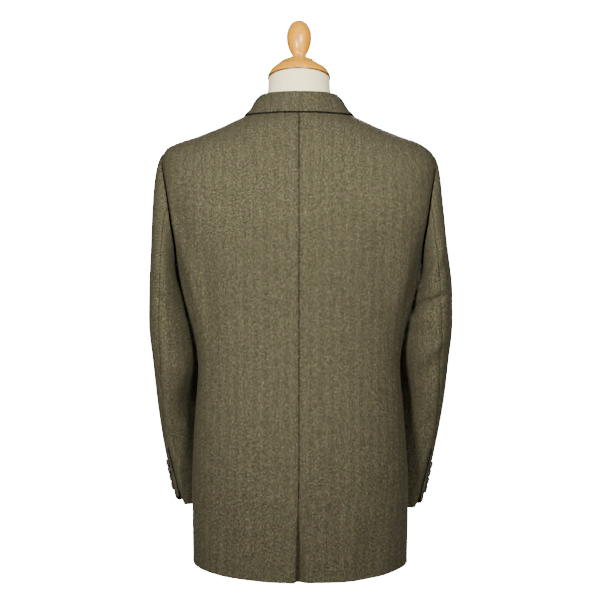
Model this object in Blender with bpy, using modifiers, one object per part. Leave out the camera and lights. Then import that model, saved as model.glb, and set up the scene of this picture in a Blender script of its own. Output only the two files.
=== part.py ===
"""Tweed hacking jacket on a limbless dress form.

Units are metres, +Z is up. The wearer faces -Y and the wearer's left side is +X. The origin is on the
ground, under the middle of the part. The jacket is a set of cut cloth pieces, each a thin wall on one
shared torso surface or on one shared sleeve surface, 0.3 mm apart where they are sewn together.

The torso surface has two parameters: an angle round the body (0 at the wearer's side, 90 at the centre
back, -90 at the centre front) and a row, which counts the sections of TORSO from the hem to the neck.
"""
import math
from collections import namedtuple

import bmesh
import bpy
import numpy as np
from mathutils import Matrix, Vector

# ---------------------------------------------------------------- driving dimensions
WALL = 0.0020            # thickness of a cloth piece
SEAM_DEGREES = 0.12      # half of the gap at a seam, as an angle round the body
REST_GAP = 0.0003        # gap between pieces that lie on each other
PLY = WALL + 0.0006      # step from one layer of cloth to the next

# Sections of the torso from hem to neck. The side, the centre back and the centre front of one section
# lie at different heights; squareness is the exponent of its superellipse.
TorsoSection = namedtuple(
    "TorsoSection", "side_z half_width squareness back_z back_depth front_z front_depth")
TORSO = {
    "hem": TorsoSection(0.0120, 0.1835, 2.25, 0.0040, 0.1430, 0.0060, 0.1280),
    "skirt": TorsoSection(0.0930, 0.1840, 2.25, 0.0870, 0.1420, 0.0890, 0.1300),
    "seat": TorsoSection(0.1780, 0.1835, 2.25, 0.1720, 0.1370, 0.1740, 0.1300),
    "hip": TorsoSection(0.2670, 0.1790, 2.25, 0.2610, 0.1220, 0.2630, 0.1270),
    "waist": TorsoSection(0.3520, 0.1730, 2.25, 0.3460, 0.1060, 0.3500, 0.1230),
    "ribs": TorsoSection(0.4230, 0.1840, 2.30, 0.4170, 0.1020, 0.4330, 0.1290),
    "chest": TorsoSection(0.4900, 0.2010, 2.50, 0.4840, 0.1080, 0.5060, 0.1350),
    "underarm": TorsoSection(0.5450, 0.2130, 2.80, 0.5390, 0.1170, 0.5670, 0.1360),
    "blade": TorsoSection(0.5970, 0.2260, 3.20, 0.5900, 0.1240, 0.6150, 0.1300),
    "yoke": TorsoSection(0.6510, 0.2315, 3.40, 0.6400, 0.1240, 0.6560, 0.1190),
    "tip": TorsoSection(0.7020, 0.2315, 3.20, 0.6800, 0.1185, 0.6850, 0.1080),
    "slope_out": TorsoSection(0.7265, 0.2080, 2.80, 0.7140, 0.1090, 0.7080, 0.0980),
    "slope_mid": TorsoSection(0.7420, 0.1680, 2.40, 0.7410, 0.0985, 0.7260, 0.0890),
    "slope_in": TorsoSection(0.7575, 0.1300, 2.20, 0.7630, 0.0870, 0.7410, 0.0800),
    "neck": TorsoSection(0.7840, 0.0740, 2.00, 0.7850, 0.0660, 0.7540, 0.0680),
}
NECK_ROW = 14.0

# Armhole: a loop round this angle and row.
ARMHOLE_ROW = 8.4
ARMHOLE_HALF_ROWS = 1.9
ARMHOLE_BACK_DEGREES = 31.0
ARMHOLE_FRONT_DEGREES = 28.0
UNDERARM_ROW = ARMHOLE_ROW - ARMHOLE_HALF_ROWS
SHOULDER_ROW = ARMHOLE_ROW + ARMHOLE_HALF_ROWS

# Seams of the body.
BACK_SIDE_SEAM = -3.0                # angle of the seam between back and side piece
FRONT_SIDE_SEAM = (-38.0, -20.0)     # angle of the seam between side piece and front, at hem and top
SIDE_TOP_ARC = 36.0                  # the side piece ends this far round the armhole from its lowest point

# Centre vent.
VENT_ROW = 2.1
VENT_PRESS_ROWS = 0.525              # rows over which the vent's edge lifts off below its top
VENT_UNDERLAP_DEGREES = 13.0
VENT_OPEN_X = 0.006                  # how far the left edge swings open at the hem
VENT_SINK = 0.0040                   # how far the right edge sinks in at the hem
VENT_LIFT_ANGLES = (64.0, 75.0)      # the left side of the vent lifts to its lap between these
VENT_SINK_ANGLES = (78.0, 88.0)      # the right side of the vent sinks between these
HEM_DROP = {"L": 0.0, "R": 0.0026}   # how much lower one side of the back hangs at the hem
HEM_DROP_ANGLE = 56.0                # the drop is greatest here
HEM_DROP_DEGREES = 22.0              # and fades out over this to both sides

# Front edge, cutaway and lapel.
WRAP = 0.018                         # the fronts pass the centre by this much
FRONT_SINK = 2 * PLY                 # the right front lies this far under the left
FRONT_SINK_ANGLES = (-62.0, -85.0)   # it sinks between these angles
CUTAWAY_ROW = 2.9
CUTAWAY_SLANT = 0.036                # the part of the cutaway that runs straight
CUTAWAY_ROUND = 0.088                # the part that rounds into the hem
BREAK_ROW = 5.6
ROLL_TOP_X = 0.052
GORGE_ROW = 11.2
LAPEL_POINT_ROW = 9.6
LAPEL_WIDTH = 0.090
LAPEL_START_ROWS = 0.12              # the turned lapel starts this far above the break
LAPEL_START_WIDTH = 0.06             # and is this share of its width there
LAPEL_BULGE = 0.0030
LAPEL_BULGE_ROWS = (7.4, 9.4)        # the bulge of the roll grows between these rows

# Buttons.
FRONT_BUTTON_ROWS = (3.02, 4.20, 5.32)
FRONT_BUTTON_GAPS = (0.0006, 0.0009, 0.0007)   # the middle one bridges the waist's hollow
FRONT_BUTTON_RADIUS = 0.0105
CUFF_BUTTON_GAP = 0.0006
CUFF_BUTTON_RADIUS = 0.0072
CUFF_BUTTON_COUNT = 4
CUFF_BUTTON_PITCH = 0.0150
CUFF_BUTTON_FIRST_ROW = 5.66
CUFF_BUTTON_INSET_DEGREES = 12.0
BUTTON_THICKNESS = 0.0034

# Pocket flap: the front end is the higher one.
FLAP_ANGLES = (-77.0, -42.0)
FLAP_TOP_ROWS = (3.12, 2.80)
FLAP_DROP_ROWS = 0.62
FLAP_CORNER = 0.10                   # how far the corners round up, as a share of the drop

# Sections of the sleeve below the armhole.
# The back of a section lies further out than its front by slant times its depth.
SleeveSection = namedtuple("SleeveSection", "z centre_x half_x centre_y half_y slant")
SLEEVE = {
    "bicep": SleeveSection(0.476, 0.2290, 0.0285, 0.000, 0.084, 0.00),
    "arm": SleeveSection(0.415, 0.2240, 0.0335, -0.006, 0.081, 0.03),
    "elbow": SleeveSection(0.358, 0.2155, 0.0375, -0.018, 0.077, 0.08),
    "fore": SleeveSection(0.280, 0.2115, 0.0325, -0.040, 0.070, 0.18),
    "wrist": SleeveSection(0.194, 0.1984, 0.0310, -0.069, 0.061, 0.32),
    "cuff": SleeveSection(0.096, 0.1815, 0.0280, -0.093, 0.055, 0.40),
}
CUFF_ROW = 6.0
CUFF_ROW_LENGTH = 0.104              # length of the sleeve's last row
CUFF_RISE = {"L": 0.003, "R": -0.003}
SLEEVE_HEAD_OUT = {"L": 0.085, "R": 0.060}   # how strongly the sleeve head stands out at the shoulder
UNDERARM_OUT = 0.012
ARMHOLE_STEP = 0.0004                # the sleeve starts this far above the body's surface
SLEEVE_DROP = 0.060
SLEEVE_BACKWARD = 0.15               # how far the sleeve head also leans back, as a share of its way out
SLEEVE_FLARE = {"L": 0.0, "R": 0.004}
SLEEVE_FLARE_ROWS = 2.5
HINDARM_SEAM = (90.0, 86.0, 78.0, 70.0, 65.0, 62.0, 60.0)
FOREARM_SEAM = -108.0
SLEEVE_SEAM_DEGREES = (0.20, 0.40)   # half of a seam's gap, at the armhole and from the bicep down
CUFF_VENT_ROW = 4.8
CUFF_VENT_SINK_ROWS = 0.25
CUFF_UNDERLAP_DEGREES = 16.0
CUFF_UNDERLAP_SINK = (2.0, 18.0)     # past the seam, the under sleeve rises again between these

COLLAR_LIFT = PLY + 0.0006           # gap from the body to the collar's outer face along its edge

# Folds of the cloth: soft ridges (height above 0) and troughs (below 0). A fold's line passes through
# its angle and row and turns round by degrees_per_row; it fades out over half_degrees across that line
# and half_rows along it. Side is L, R or, on both sides, B.
Fold = namedtuple("Fold", "side angle row half_degrees half_rows degrees_per_row height")
BODY_FOLDS = {
    "armhole trough left": Fold("L", 40.0, 8.00, 5.5, 0.95, 1.6, -0.0030),
    "blade trough left":   Fold("L", 62.5, 8.90, 4.5, 0.80, -1.0, -0.0014),
    "blade ridge left":    Fold("L", 70.0, 9.00, 7.0, 1.10, -1.0, 0.0020),
    "back trough left":    Fold("L", 44.0, 6.00, 5.5, 1.30, 4.7, -0.0036),
    "arm ridge left":      Fold("L", 34.0, 6.40, 5.5, 0.90, 3.0, 0.0026),
    "back trough right":   Fold("R", 56.0, 7.20, 6.5, 1.15, 6.0, -0.0034),
    "arm ridge right":     Fold("R", 37.0, 6.30, 6.5, 0.90, 4.0, 0.0032),
    "waist trough right":  Fold("R", 74.0, 3.70, 5.0, 0.90, 0.5, -0.0016),
    "skirt trough left":   Fold("L", 50.0, 0.70, 6.5, 0.80, 1.0, -0.0022),
    "skirt ridge left":    Fold("L", 62.0, 1.60, 7.0, 1.10, 0.5, 0.0018),
    "skirt trough right":  Fold("R", 70.0, 1.50, 5.0, 0.80, 1.0, -0.0018),
    "hem trough right":    Fold("R", 52.0, 0.40, 7.0, 0.70, -2.0, -0.0026),
    "hip ridge right":     Fold("R", 14.0, 1.00, 20.0, 1.90, 0.0, 0.0046),
    "shoulder ridge left": Fold("L", 4.0, 10.50, 26.0, 0.55, 0.0, 0.0040),
    "side trough left":    Fold("L", -13.0, 5.30, 6.0, 0.85, 1.0, -0.0028),
    "side trough right":   Fold("R", -11.0, 5.60, 5.5, 0.75, -1.5, -0.0032),
    "chest trough left":   Fold("L", -45.0, 7.30, 6.0, 1.00, -2.5, -0.0030),
    "chest trough right":  Fold("R", -43.0, 7.00, 6.5, 0.85, -3.5, -0.0026),
    "waist drag left":     Fold("L", -58.0, 4.62, 8.0, 0.30, 55.0, -0.0022),
    "waist drag right":    Fold("R", -56.0, 4.80, 9.0, 0.26, 60.0, -0.0020),
    "skirt flute left":    Fold("L", -32.0, 1.20, 7.0, 1.20, 1.0, -0.0026),
    "skirt flute right":   Fold("R", -29.0, 0.90, 7.5, 1.30, -1.0, -0.0022),
}
SLEEVE_FOLDS = {
    "upper crinkle right": Fold("R", 115.0, 0.76, 30.0, 0.15, 280.0, 0.0046),
    "notch right":         Fold("R", 115.0, 1.20, 28.0, 0.16, 250.0, -0.0060),
    "lower crinkle right": Fold("R", 138.0, 1.66, 42.0, 0.34, 0.0, 0.0036),
    "elbow ridge right":   Fold("R", 94.0, 2.64, 14.0, 0.36, 50.0, 0.0032),
    "elbow trough right":  Fold("R", 104.0, 3.25, 24.0, 0.34, 40.0, -0.0030),
    "elbow ridge left":    Fold("L", 140.0, 3.20, 40.0, 0.36, 0.0, 0.0026),
    "elbow trough left":   Fold("L", 140.0, 4.05, 40.0, 0.34, 0.0, -0.0026),
    "arm trough left":     Fold("L", 112.0, 1.30, 30.0, 0.30, 120.0, -0.0024),
    "inner bend high":     Fold("B", -98.0, 2.25, 46.0, 0.20, 0.0, -0.0028),
    "inner bend middle":   Fold("B", -90.0, 2.85, 52.0, 0.22, 0.0, -0.0036),
    "inner bend low":      Fold("B", -104.0, 3.55, 44.0, 0.24, 0.0, -0.0026),
}
SLEEVE_FOLDS_START = 0.30            # rows below the armhole over which the sleeve's folds begin

# Dress form. FORM_GAPS lie between the cloth's inner face and the form, one value for each row.
FORM_GAPS = (0.022, 0.022, 0.019, 0.015, 0.013, 0.013, 0.012, 0.010, 0.0068, 0.0045, 0.0024, 0.0014,
             0.0014, 0.0014, 0.0030)
NeckRing = namedtuple("NeckRing", "z half_width half_depth centre_y tilt")
NECK = {
    "root":   NeckRing(0.796, 0.0600, 0.0580, 0.000, 0.10),
    "column": NeckRing(0.815, 0.0540, 0.0535, -0.001, 0.60),
    "top":    NeckRing(0.838, 0.0525, 0.0525, -0.002, 1.00),
}
NECK_TILT = math.radians(14.0)
CAP_RADIUS = 0.0538
CAP_PROFILE = ((0.0130, 0.0375), (0.0220, 0.0348), (0.0345, 0.0275), (0.0450, 0.0180), (0.0515, 0.0095),
               (CAP_RADIUS, 0.0045), (CAP_RADIUS - 0.0008, 0.0))
FINIAL_PROFILE = ((0.0062, 0.1026), (0.0120, 0.0985), (0.0174, 0.0905), (0.0208, 0.0810),
                  (0.0215, 0.0715), (0.0195, 0.0605), (0.0160, 0.0510), (0.0124, 0.0445),
                  (0.0115, 0.0415), (0.0128, 0.0392), (0.0125, 0.0378))

# ---------------------------------------------------------------- materials
Finish = namedtuple("Finish", "colour roughness metallic")
FINISHES = {
    "tweed": Finish((0.165, 0.143, 0.083, 1.0), 0.92, 0.0),
    "linen": Finish((0.80, 0.77, 0.66, 1.0), 0.85, 0.0),
    "wood": Finish((0.72, 0.40, 0.15, 1.0), 0.28, 0.0),
    "horn": Finish((0.035, 0.022, 0.014, 1.0), 0.35, 0.0),
}


def clear_scene():
    for item in list(bpy.data.objects):
        bpy.data.objects.remove(item, do_unlink=True)


def make_material(name):
    colour, roughness, metallic = FINISHES[name]
    material = bpy.data.materials.new(name)
    material.use_nodes = True
    shader = material.node_tree.nodes["Principled BSDF"]
    shader.inputs["Base Color"].default_value = colour
    shader.inputs["Roughness"].default_value = roughness
    shader.inputs["Metallic"].default_value = metallic
    material.diffuse_color = colour
    return material


def make_collection(name):
    collection = bpy.data.collections.new(name)
    bpy.context.scene.collection.children.link(collection)
    return collection


# ---------------------------------------------------------------- curves and surfaces
def smooth(value):
    """Ease from 0 to 1 as the value goes from 0 to 1."""
    value = np.clip(value, 0.0, 1.0)
    return value * value * (3.0 - 2.0 * value)


def along(sections, row):
    """All columns of a table of sections at a row, by a Catmull-Rom curve through the rows."""
    table = np.array(list(sections.values()))
    last = len(table) - 1
    row = np.clip(np.asarray(row, dtype=float), 0.0, last)
    start = np.minimum(row.astype(int), last - 1)
    part = (row - start)[..., None]
    here, after = table[start], table[start + 1]
    before = np.where((start > 0)[..., None], table[np.maximum(start - 1, 0)], 2 * here - after)
    beyond = np.where((start + 2 <= last)[..., None], table[np.minimum(start + 2, last)], 2 * after - here)
    bend = 2 * before - 5 * here + 4 * after - beyond
    twist = -before + 3 * here - 3 * after + beyond
    value = here + 0.5 * part * ((after - before) + part * (bend + part * twist))
    return np.moveaxis(value, -1, 0)


def fold_height(folds, side, angle, row):
    """Height of the cloth's folds at a place: the sum of ridges and troughs."""
    height = 0.0
    for fold in folds.values():
        if fold.side in (side, "B"):
            length = (row - fold.row) / fold.half_rows
            turn = angle - fold.angle - fold.degrees_per_row * (row - fold.row)
            across = ((turn + 180.0) % 360.0 - 180.0) / fold.half_degrees
            height = height + fold.height * np.exp(-across ** 2 - length ** 2)
    return height


def torso_point(angle, row):
    """The body's surface, without its folds."""
    side_z, width, square, back_z, back_depth, front_z, front_depth = along(TORSO, row)
    cos, sin = np.cos(np.radians(angle)), np.sin(np.radians(angle))
    reach = (np.abs(cos) ** square + np.abs(sin) ** square) ** (-1.0 / square)
    depth = np.where(sin >= 0, back_depth, front_depth)
    middle_z = np.where(sin >= 0, back_z, front_z)
    height = side_z + (middle_z - side_z) * sin * sin
    return np.stack([width * cos * reach, depth * sin * reach, height], axis=-1)


def surface_normal(point, across, up):
    """Unit normal of a surface point(across, up), by central differences."""
    step_across, step_up = 0.05, 0.002
    tangent = point(across + step_across, up) - point(across - step_across, up)
    rise = point(across, up + step_up) - point(across, up - step_up)
    normal = np.cross(tangent, rise)
    return normal / np.linalg.norm(normal, axis=-1, keepdims=True)


def off_torso(angle, row, out):
    """A torso point moved out along the surface normal."""
    angle, row = np.broadcast_arrays(np.asarray(angle, float), np.asarray(row, float))
    return torso_point(angle, row) + surface_normal(torso_point, angle, row) * np.asarray(out)[..., None]


def cloth_faces(angle, row, offset, side):
    """Outer and inner points of a body piece, folds and the hem's drop included."""
    offset = offset + fold_height(BODY_FOLDS, side, angle, row)
    drop = np.exp(-((angle - HEM_DROP_ANGLE) / HEM_DROP_DEGREES) ** 2) * smooth(1.0 - row)
    drop = np.array([0.0, 0.0, HEM_DROP[side]]) * drop[..., None]
    return off_torso(angle, row, offset) - drop, off_torso(angle, row, offset - WALL) - drop


def front_angle_at(x, row):
    """The angle on the front of the torso where the surface is x from the centre plane."""
    _, width, square, _, _, _, _ = along(TORSO, row)
    across = np.maximum(width ** square - np.abs(x) ** square, 0.0) ** (1.0 / square)
    return -np.degrees(np.arctan2(across, x))


def back_angle_at(x, row):
    return -front_angle_at(x, row)


# ---------------------------------------------------------------- rows shared by the body pieces
ARC = np.radians(np.linspace(0.0, 180.0, 11))
LOWER_ROWS = np.concatenate([np.linspace(0.0, VENT_ROW, 5), np.linspace(VENT_ROW, UNDERARM_ROW, 10)[1:]])
ARMHOLE_ROWS = ARMHOLE_ROW - ARMHOLE_HALF_ROWS * np.cos(ARC[1:])
UPPER_ROWS = np.linspace(SHOULDER_ROW, NECK_ROW, 6)[1:]
BODY_ROWS = np.concatenate([LOWER_ROWS, ARMHOLE_ROWS, UPPER_ROWS])


def armhole_angle(row, widest):
    """The armhole's angle at a row, 0 outside its rows."""
    part = np.clip((row - ARMHOLE_ROW) / ARMHOLE_HALF_ROWS, -1.0, 1.0)
    return widest * np.sqrt(1.0 - part * part)


def front_side_seam(row):
    return FRONT_SIDE_SEAM[0] + (FRONT_SIDE_SEAM[1] - FRONT_SIDE_SEAM[0]) * row / 7.0


def back_outer_edge(row):
    on_side = np.full_like(row, BACK_SIDE_SEAM)
    above = armhole_angle(row, ARMHOLE_BACK_DEGREES)
    return np.where(row <= UNDERARM_ROW + 1e-6, on_side, above) + SEAM_DEGREES


def front_outer_edge(row):
    side_top = ARMHOLE_ROW - ARMHOLE_HALF_ROWS * math.cos(math.radians(SIDE_TOP_ARC))
    above = -armhole_angle(row, ARMHOLE_FRONT_DEGREES)
    return np.where(row <= side_top + 1e-6, front_side_seam(row), above) - SEAM_DEGREES


def roll_x(row):
    """Distance of the roll line from the centre plane; the fronts fold back along it."""
    return -WRAP + (ROLL_TOP_X + WRAP) * (row - BREAK_ROW) / (NECK_ROW - BREAK_ROW)


def front_inner_x(row):
    """Distance of the front edge from the centre plane, from the cutaway hem to the roll line."""
    low = np.clip(1.0 - row / CUTAWAY_ROW, 0.0, 1.0)
    sweep = CUTAWAY_SLANT * low ** 1.5 + CUTAWAY_ROUND * (1.0 - np.sqrt(1.0 - low * low))
    return np.where(row > BREAK_ROW, roll_x(row), -WRAP + sweep)


def ramp(value, limits):
    """Ease from 0 to 1 as the value goes from one limit to the other."""
    return smooth((value - limits[0]) / (limits[1] - limits[0]))


def front_offset(angle, side):
    """How far a front lies from the torso surface: the right one passes under the left."""
    if side == "L":
        return np.zeros_like(angle)
    return -FRONT_SINK * ramp(angle, FRONT_SINK_ANGLES)


def back_offset(angle, row, side):
    """How far a back lies from the torso surface, with its vent."""
    if side == "L":
        return PLY * smooth((VENT_ROW - row) / VENT_PRESS_ROWS) * ramp(angle, VENT_LIFT_ANGLES)
    return -VENT_SINK * smooth((VENT_ROW - row) / VENT_ROW) * ramp(angle, VENT_SINK_ANGLES)


# ---------------------------------------------------------------- making objects
def finish(item, material, collection):
    collection.objects.link(item)
    item.data.materials.append(material)
    item.data.shade_smooth()
    item.data.set_sharp_from_angle(angle=math.radians(50.0))
    return item


def add_mesh(name, points, faces, material, collection):
    mesh = bpy.data.meshes.new(name)
    mesh.from_pydata([tuple(point) for point in points], [], faces)
    shape = bmesh.new()
    shape.from_mesh(mesh)
    bmesh.ops.recalc_face_normals(shape, faces=shape.faces)
    shape.to_mesh(mesh)
    shape.free()
    return finish(bpy.data.objects.new(name, mesh), material, collection)


def add_wall(name, outer, inner, side, material, collection):
    """A closed wall between two grids of points, mirrored for the right side."""
    rows, columns = outer.shape[:2]
    points = np.concatenate([outer.reshape(-1, 3), inner.reshape(-1, 3)])
    if side == "R":
        points = points * np.array([-1.0, 1.0, 1.0])
    count = rows * columns

    def at(row, column, layer):
        return layer * count + row * columns + column

    faces = []
    for row in range(rows - 1):
        for column in range(columns - 1):
            corners = ((row, column), (row, column + 1), (row + 1, column + 1), (row + 1, column))
            cell = tuple(at(*corner, 0) for corner in corners)
            faces.append(cell)
            faces.append(tuple(count + corner for corner in reversed(cell)))
    rim = [(0, column) for column in range(columns)]
    rim += [(row, columns - 1) for row in range(1, rows)]
    rim += [(rows - 1, column) for column in range(columns - 2, -1, -1)]
    rim += [(row, 0) for row in range(rows - 2, 0, -1)]
    for here, after in zip(rim, rim[1:] + rim[:1]):
        faces.append((at(*here, 1), at(*after, 1), at(*after, 0), at(*here, 0)))
    return add_mesh(name, points, faces, material, collection)


def add_loft(name, rings, material, collection):
    """A solid through closed rings of points, with flat caps."""
    count = rings.shape[1]
    faces = [tuple(reversed(range(count)))]
    for ring in range(len(rings) - 1):
        for corner in range(count):
            after = (corner + 1) % count
            low, high = ring * count, (ring + 1) * count
            faces.append((low + corner, low + after, high + after, high + corner))
    faces.append(tuple(range((len(rings) - 1) * count, len(rings) * count)))
    return add_mesh(name, rings.reshape(-1, 3), faces, material, collection)


def add_turned(name, profile, steps, place, material, collection):
    """A turned piece: a profile of (radius, height) from top to bottom, closed on its axis."""
    points = [(0.0, 0.0, profile[0][1])]
    points += [(radius, 0.0, height) for radius, height in profile]
    points.append((0.0, 0.0, profile[-1][1]))
    mesh = bpy.data.meshes.new(name)
    mesh.from_pydata(points, [(step, step + 1) for step in range(len(points) - 1)], [])
    item = bpy.data.objects.new(name, mesh)
    finish(item, material, collection)
    screw = item.modifiers.new("turn", "SCREW")
    screw.axis = "Z"
    screw.steps = steps
    screw.render_steps = steps
    screw.use_merge_vertices = True
    screw.merge_threshold = 0.00001
    screw.use_smooth_shade = True
    item.matrix_world = place
    return item


# ---------------------------------------------------------------- body pieces
def body_grid(inner_edge, outer_edge, rows, columns):
    """Angles and rows of a body piece between its inner and its outer edge."""
    share = np.linspace(0.0, 1.0, columns)
    angles = inner_edge[:, None] + (outer_edge - inner_edge)[:, None] * share[None, :]
    return angles, np.repeat(rows[:, None], columns, axis=1)


def add_back(side, material, collection):
    rows = BODY_ROWS
    centre = np.full_like(rows, 90.0 - SEAM_DEGREES)
    if side == "L":
        opened = VENT_OPEN_X * np.clip((VENT_ROW - rows) / VENT_ROW, 0.0, 1.0)
        centre = np.where(rows < VENT_ROW, back_angle_at(opened, rows) - SEAM_DEGREES, centre)
    else:
        underlap = rows < VENT_ROW - VENT_PRESS_ROWS - 1e-6
        centre = np.where(underlap, 90.0 + VENT_UNDERLAP_DEGREES, centre)
    angles, grid_rows = body_grid(centre, back_outer_edge(rows), rows, 15)
    outer, inner = cloth_faces(angles, grid_rows, back_offset(angles, grid_rows, side), side)
    return add_wall("back_" + side, outer, inner, side, material, collection)


def add_side(side, material, collection):
    top = ARMHOLE_ROW - ARMHOLE_HALF_ROWS * math.cos(math.radians(SIDE_TOP_ARC))
    rows = BODY_ROWS[BODY_ROWS <= top + 1e-6]
    rear = np.minimum(BACK_SIDE_SEAM, -armhole_angle(rows, ARMHOLE_FRONT_DEGREES)) - SEAM_DEGREES
    angles, grid_rows = body_grid(rear, front_side_seam(rows) + SEAM_DEGREES, rows, 6)
    outer, inner = cloth_faces(angles, grid_rows, 0.0, side)
    return add_wall("side_" + side, outer, inner, side, material, collection)


def add_front(side, material, collection):
    rows = np.concatenate([[0.0, 0.05, 0.2], BODY_ROWS[1:]])
    edge = front_angle_at(front_inner_x(rows), rows)
    angles, grid_rows = body_grid(edge, front_outer_edge(rows), rows, 12)
    outer, inner = cloth_faces(angles, grid_rows, front_offset(angles, side), side)
    return add_wall("front_" + side, outer, inner, side, material, collection)


def add_lapel(side, material, collection):
    """The turned back facing: from the roll line out to its point, and up to the gorge."""
    rise = np.linspace(0.0, 1.0, 13)[:, None]
    reach = np.linspace(0.0, 1.0, 7)[None, :]
    first = BREAK_ROW + LAPEL_START_ROWS
    top = GORGE_ROW + (LAPEL_POINT_ROW - GORGE_ROW) * reach
    rows = first + (top - first) * rise
    belly = np.sin(rise * np.pi / 2) ** 0.85
    width = LAPEL_WIDTH * (LAPEL_START_WIDTH + (1.0 - LAPEL_START_WIDTH) * belly)
    angles = front_angle_at(roll_x(rows) + width * reach, rows)
    roll = np.sin(np.pi * np.minimum(reach * 1.6, 1.0) ** 0.6)
    bulge = LAPEL_BULGE * ramp(rows, LAPEL_BULGE_ROWS) * roll
    outer, inner = cloth_faces(angles, rows, front_offset(angles, side) + PLY + bulge, side)
    return add_wall("lapel_" + side, outer, inner, side, material, collection)


def add_pocket_flap(side, material, collection):
    drop = np.linspace(0.0, 1.0, 5)[:, None]
    width = np.linspace(0.0, 1.0, 7)[None, :]
    corner = FLAP_CORNER * (2.0 * width - 1.0) ** 6
    rows = FLAP_TOP_ROWS[0] + (FLAP_TOP_ROWS[1] - FLAP_TOP_ROWS[0]) * width
    rows = rows - FLAP_DROP_ROWS * drop * (1.0 - corner)
    angles = FLAP_ANGLES[0] + (FLAP_ANGLES[1] - FLAP_ANGLES[0]) * width + 0.0 * drop
    outer, inner = cloth_faces(angles, rows, front_offset(angles, side) + PLY, side)
    return add_wall("pocket_flap_" + side, outer, inner, side, material, collection)


# ---------------------------------------------------------------- sleeves
def sleeve_section(angle, row, side):
    """Sleeve below the armhole; row 1 is the bicep, angle 0 the outer side and 90 the back."""
    z, centre_x, half_x, centre_y, half_y, slant = along(SLEEVE, row - 1.0)
    cos, sin = np.cos(np.radians(angle)), np.sin(np.radians(angle))
    flare = SLEEVE_FLARE[side] * smooth((CUFF_ROW - row) / SLEEVE_FLARE_ROWS)
    x = centre_x + flare + half_x * cos + slant * half_y * sin
    rise = CUFF_RISE[side] * smooth((row - 4.0) / 2.0)
    return np.stack([x, centre_y + half_y * sin, z + rise + 0.0 * cos], axis=-1)


def armhole_point(angle, side):
    """The sleeve's start: a loop just off the body's edge, folds included."""
    cos, sin = np.cos(np.radians(angle)), np.sin(np.radians(angle))
    round_body = np.where(sin >= 0, ARMHOLE_BACK_DEGREES, ARMHOLE_FRONT_DEGREES) * sin
    row = ARMHOLE_ROW + ARMHOLE_HALF_ROWS * cos
    out = ARMHOLE_STEP + fold_height(BODY_FOLDS, side, round_body, row)
    return off_torso(round_body, row, out) + np.array([REST_GAP, 0.0, 0.0])


def sleeve_surface(side):
    """Outer surface of a sleeve: a curve from the armhole to the bicep, then the sections."""
    def point(angle, row):
        angle, row = np.broadcast_arrays(np.asarray(angle, float), np.asarray(row, float))
        part = np.clip(row, 0.0, 1.0)[..., None]
        start = armhole_point(angle, side)
        end = sleeve_section(angle, np.ones_like(row), side)
        rate = (sleeve_section(angle, np.ones_like(row) * 1.02, side) - end) / 0.02
        top = (1.0 + np.cos(np.radians(angle)))[..., None] / 2.0
        out = UNDERARM_OUT + (SLEEVE_HEAD_OUT[side] - UNDERARM_OUT) * top ** 1.5
        backward = SLEEVE_BACKWARD * out * np.sin(np.radians(angle))[..., None]
        leave = np.concatenate([out, backward, -SLEEVE_DROP * (0.6 + 0.4 * top)], axis=-1)
        arrive = rate * (0.8 + 2.2 * top)
        head = start * (1 + 2 * part) * (1 - part) ** 2 + leave * part * (1 - part) ** 2
        head = head + end * part ** 2 * (3 - 2 * part) + arrive * part ** 2 * (part - 1)
        return np.where(row[..., None] < 1.0, head, sleeve_section(angle, np.maximum(row, 1.0), side))
    return point


def off_sleeve(point, angle, row, out):
    angle, row = np.broadcast_arrays(np.asarray(angle, float), np.asarray(row, float))
    low = np.maximum(row - 0.004, 0.0)
    tangent = point(angle + 0.1, row) - point(angle - 0.1, row)
    fall = point(angle, row + 0.004) - point(angle, low)
    normal = np.cross(fall, tangent)
    normal = normal / np.linalg.norm(normal, axis=-1, keepdims=True)
    return point(angle, row) + normal * np.asarray(out)[..., None]


def sleeve_faces(angle, row, offset, side):
    """Outer and inner points of a sleeve piece, folds included."""
    point = sleeve_surface(side)
    offset = offset + fold_height(SLEEVE_FOLDS, side, angle, row) * smooth(row / SLEEVE_FOLDS_START)
    return off_sleeve(point, angle, row, offset), off_sleeve(point, angle, row, offset - WALL)


SLEEVE_ROWS = np.concatenate([np.linspace(0.0, 1.0, 7), np.linspace(1.0, 2.6, 8)[1:],
                              np.linspace(2.6, CUFF_VENT_ROW, 7)[1:],
                              np.linspace(CUFF_VENT_ROW, CUFF_ROW, 6)[1:]])


def hindarm_seam(row):
    return np.interp(row, np.arange(len(HINDARM_SEAM)), HINDARM_SEAM)


def sleeve_seam_gap(row):
    return np.interp(row, (0.0, 1.0), SLEEVE_SEAM_DEGREES)


def add_top_sleeve(side, material, collection):
    rows = SLEEVE_ROWS
    share = np.linspace(0.0, 1.0, 12)[None, :]
    rear = (hindarm_seam(rows) - sleeve_seam_gap(rows))[:, None]
    fore = (FOREARM_SEAM + sleeve_seam_gap(rows))[:, None]
    angles = rear + (fore - rear) * share
    grid_rows = np.repeat(rows[:, None], share.size, axis=1)
    outer, inner = sleeve_faces(angles, grid_rows, 0.0, side)
    return add_wall("top_sleeve_" + side, outer, inner, side, material, collection)


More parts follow.
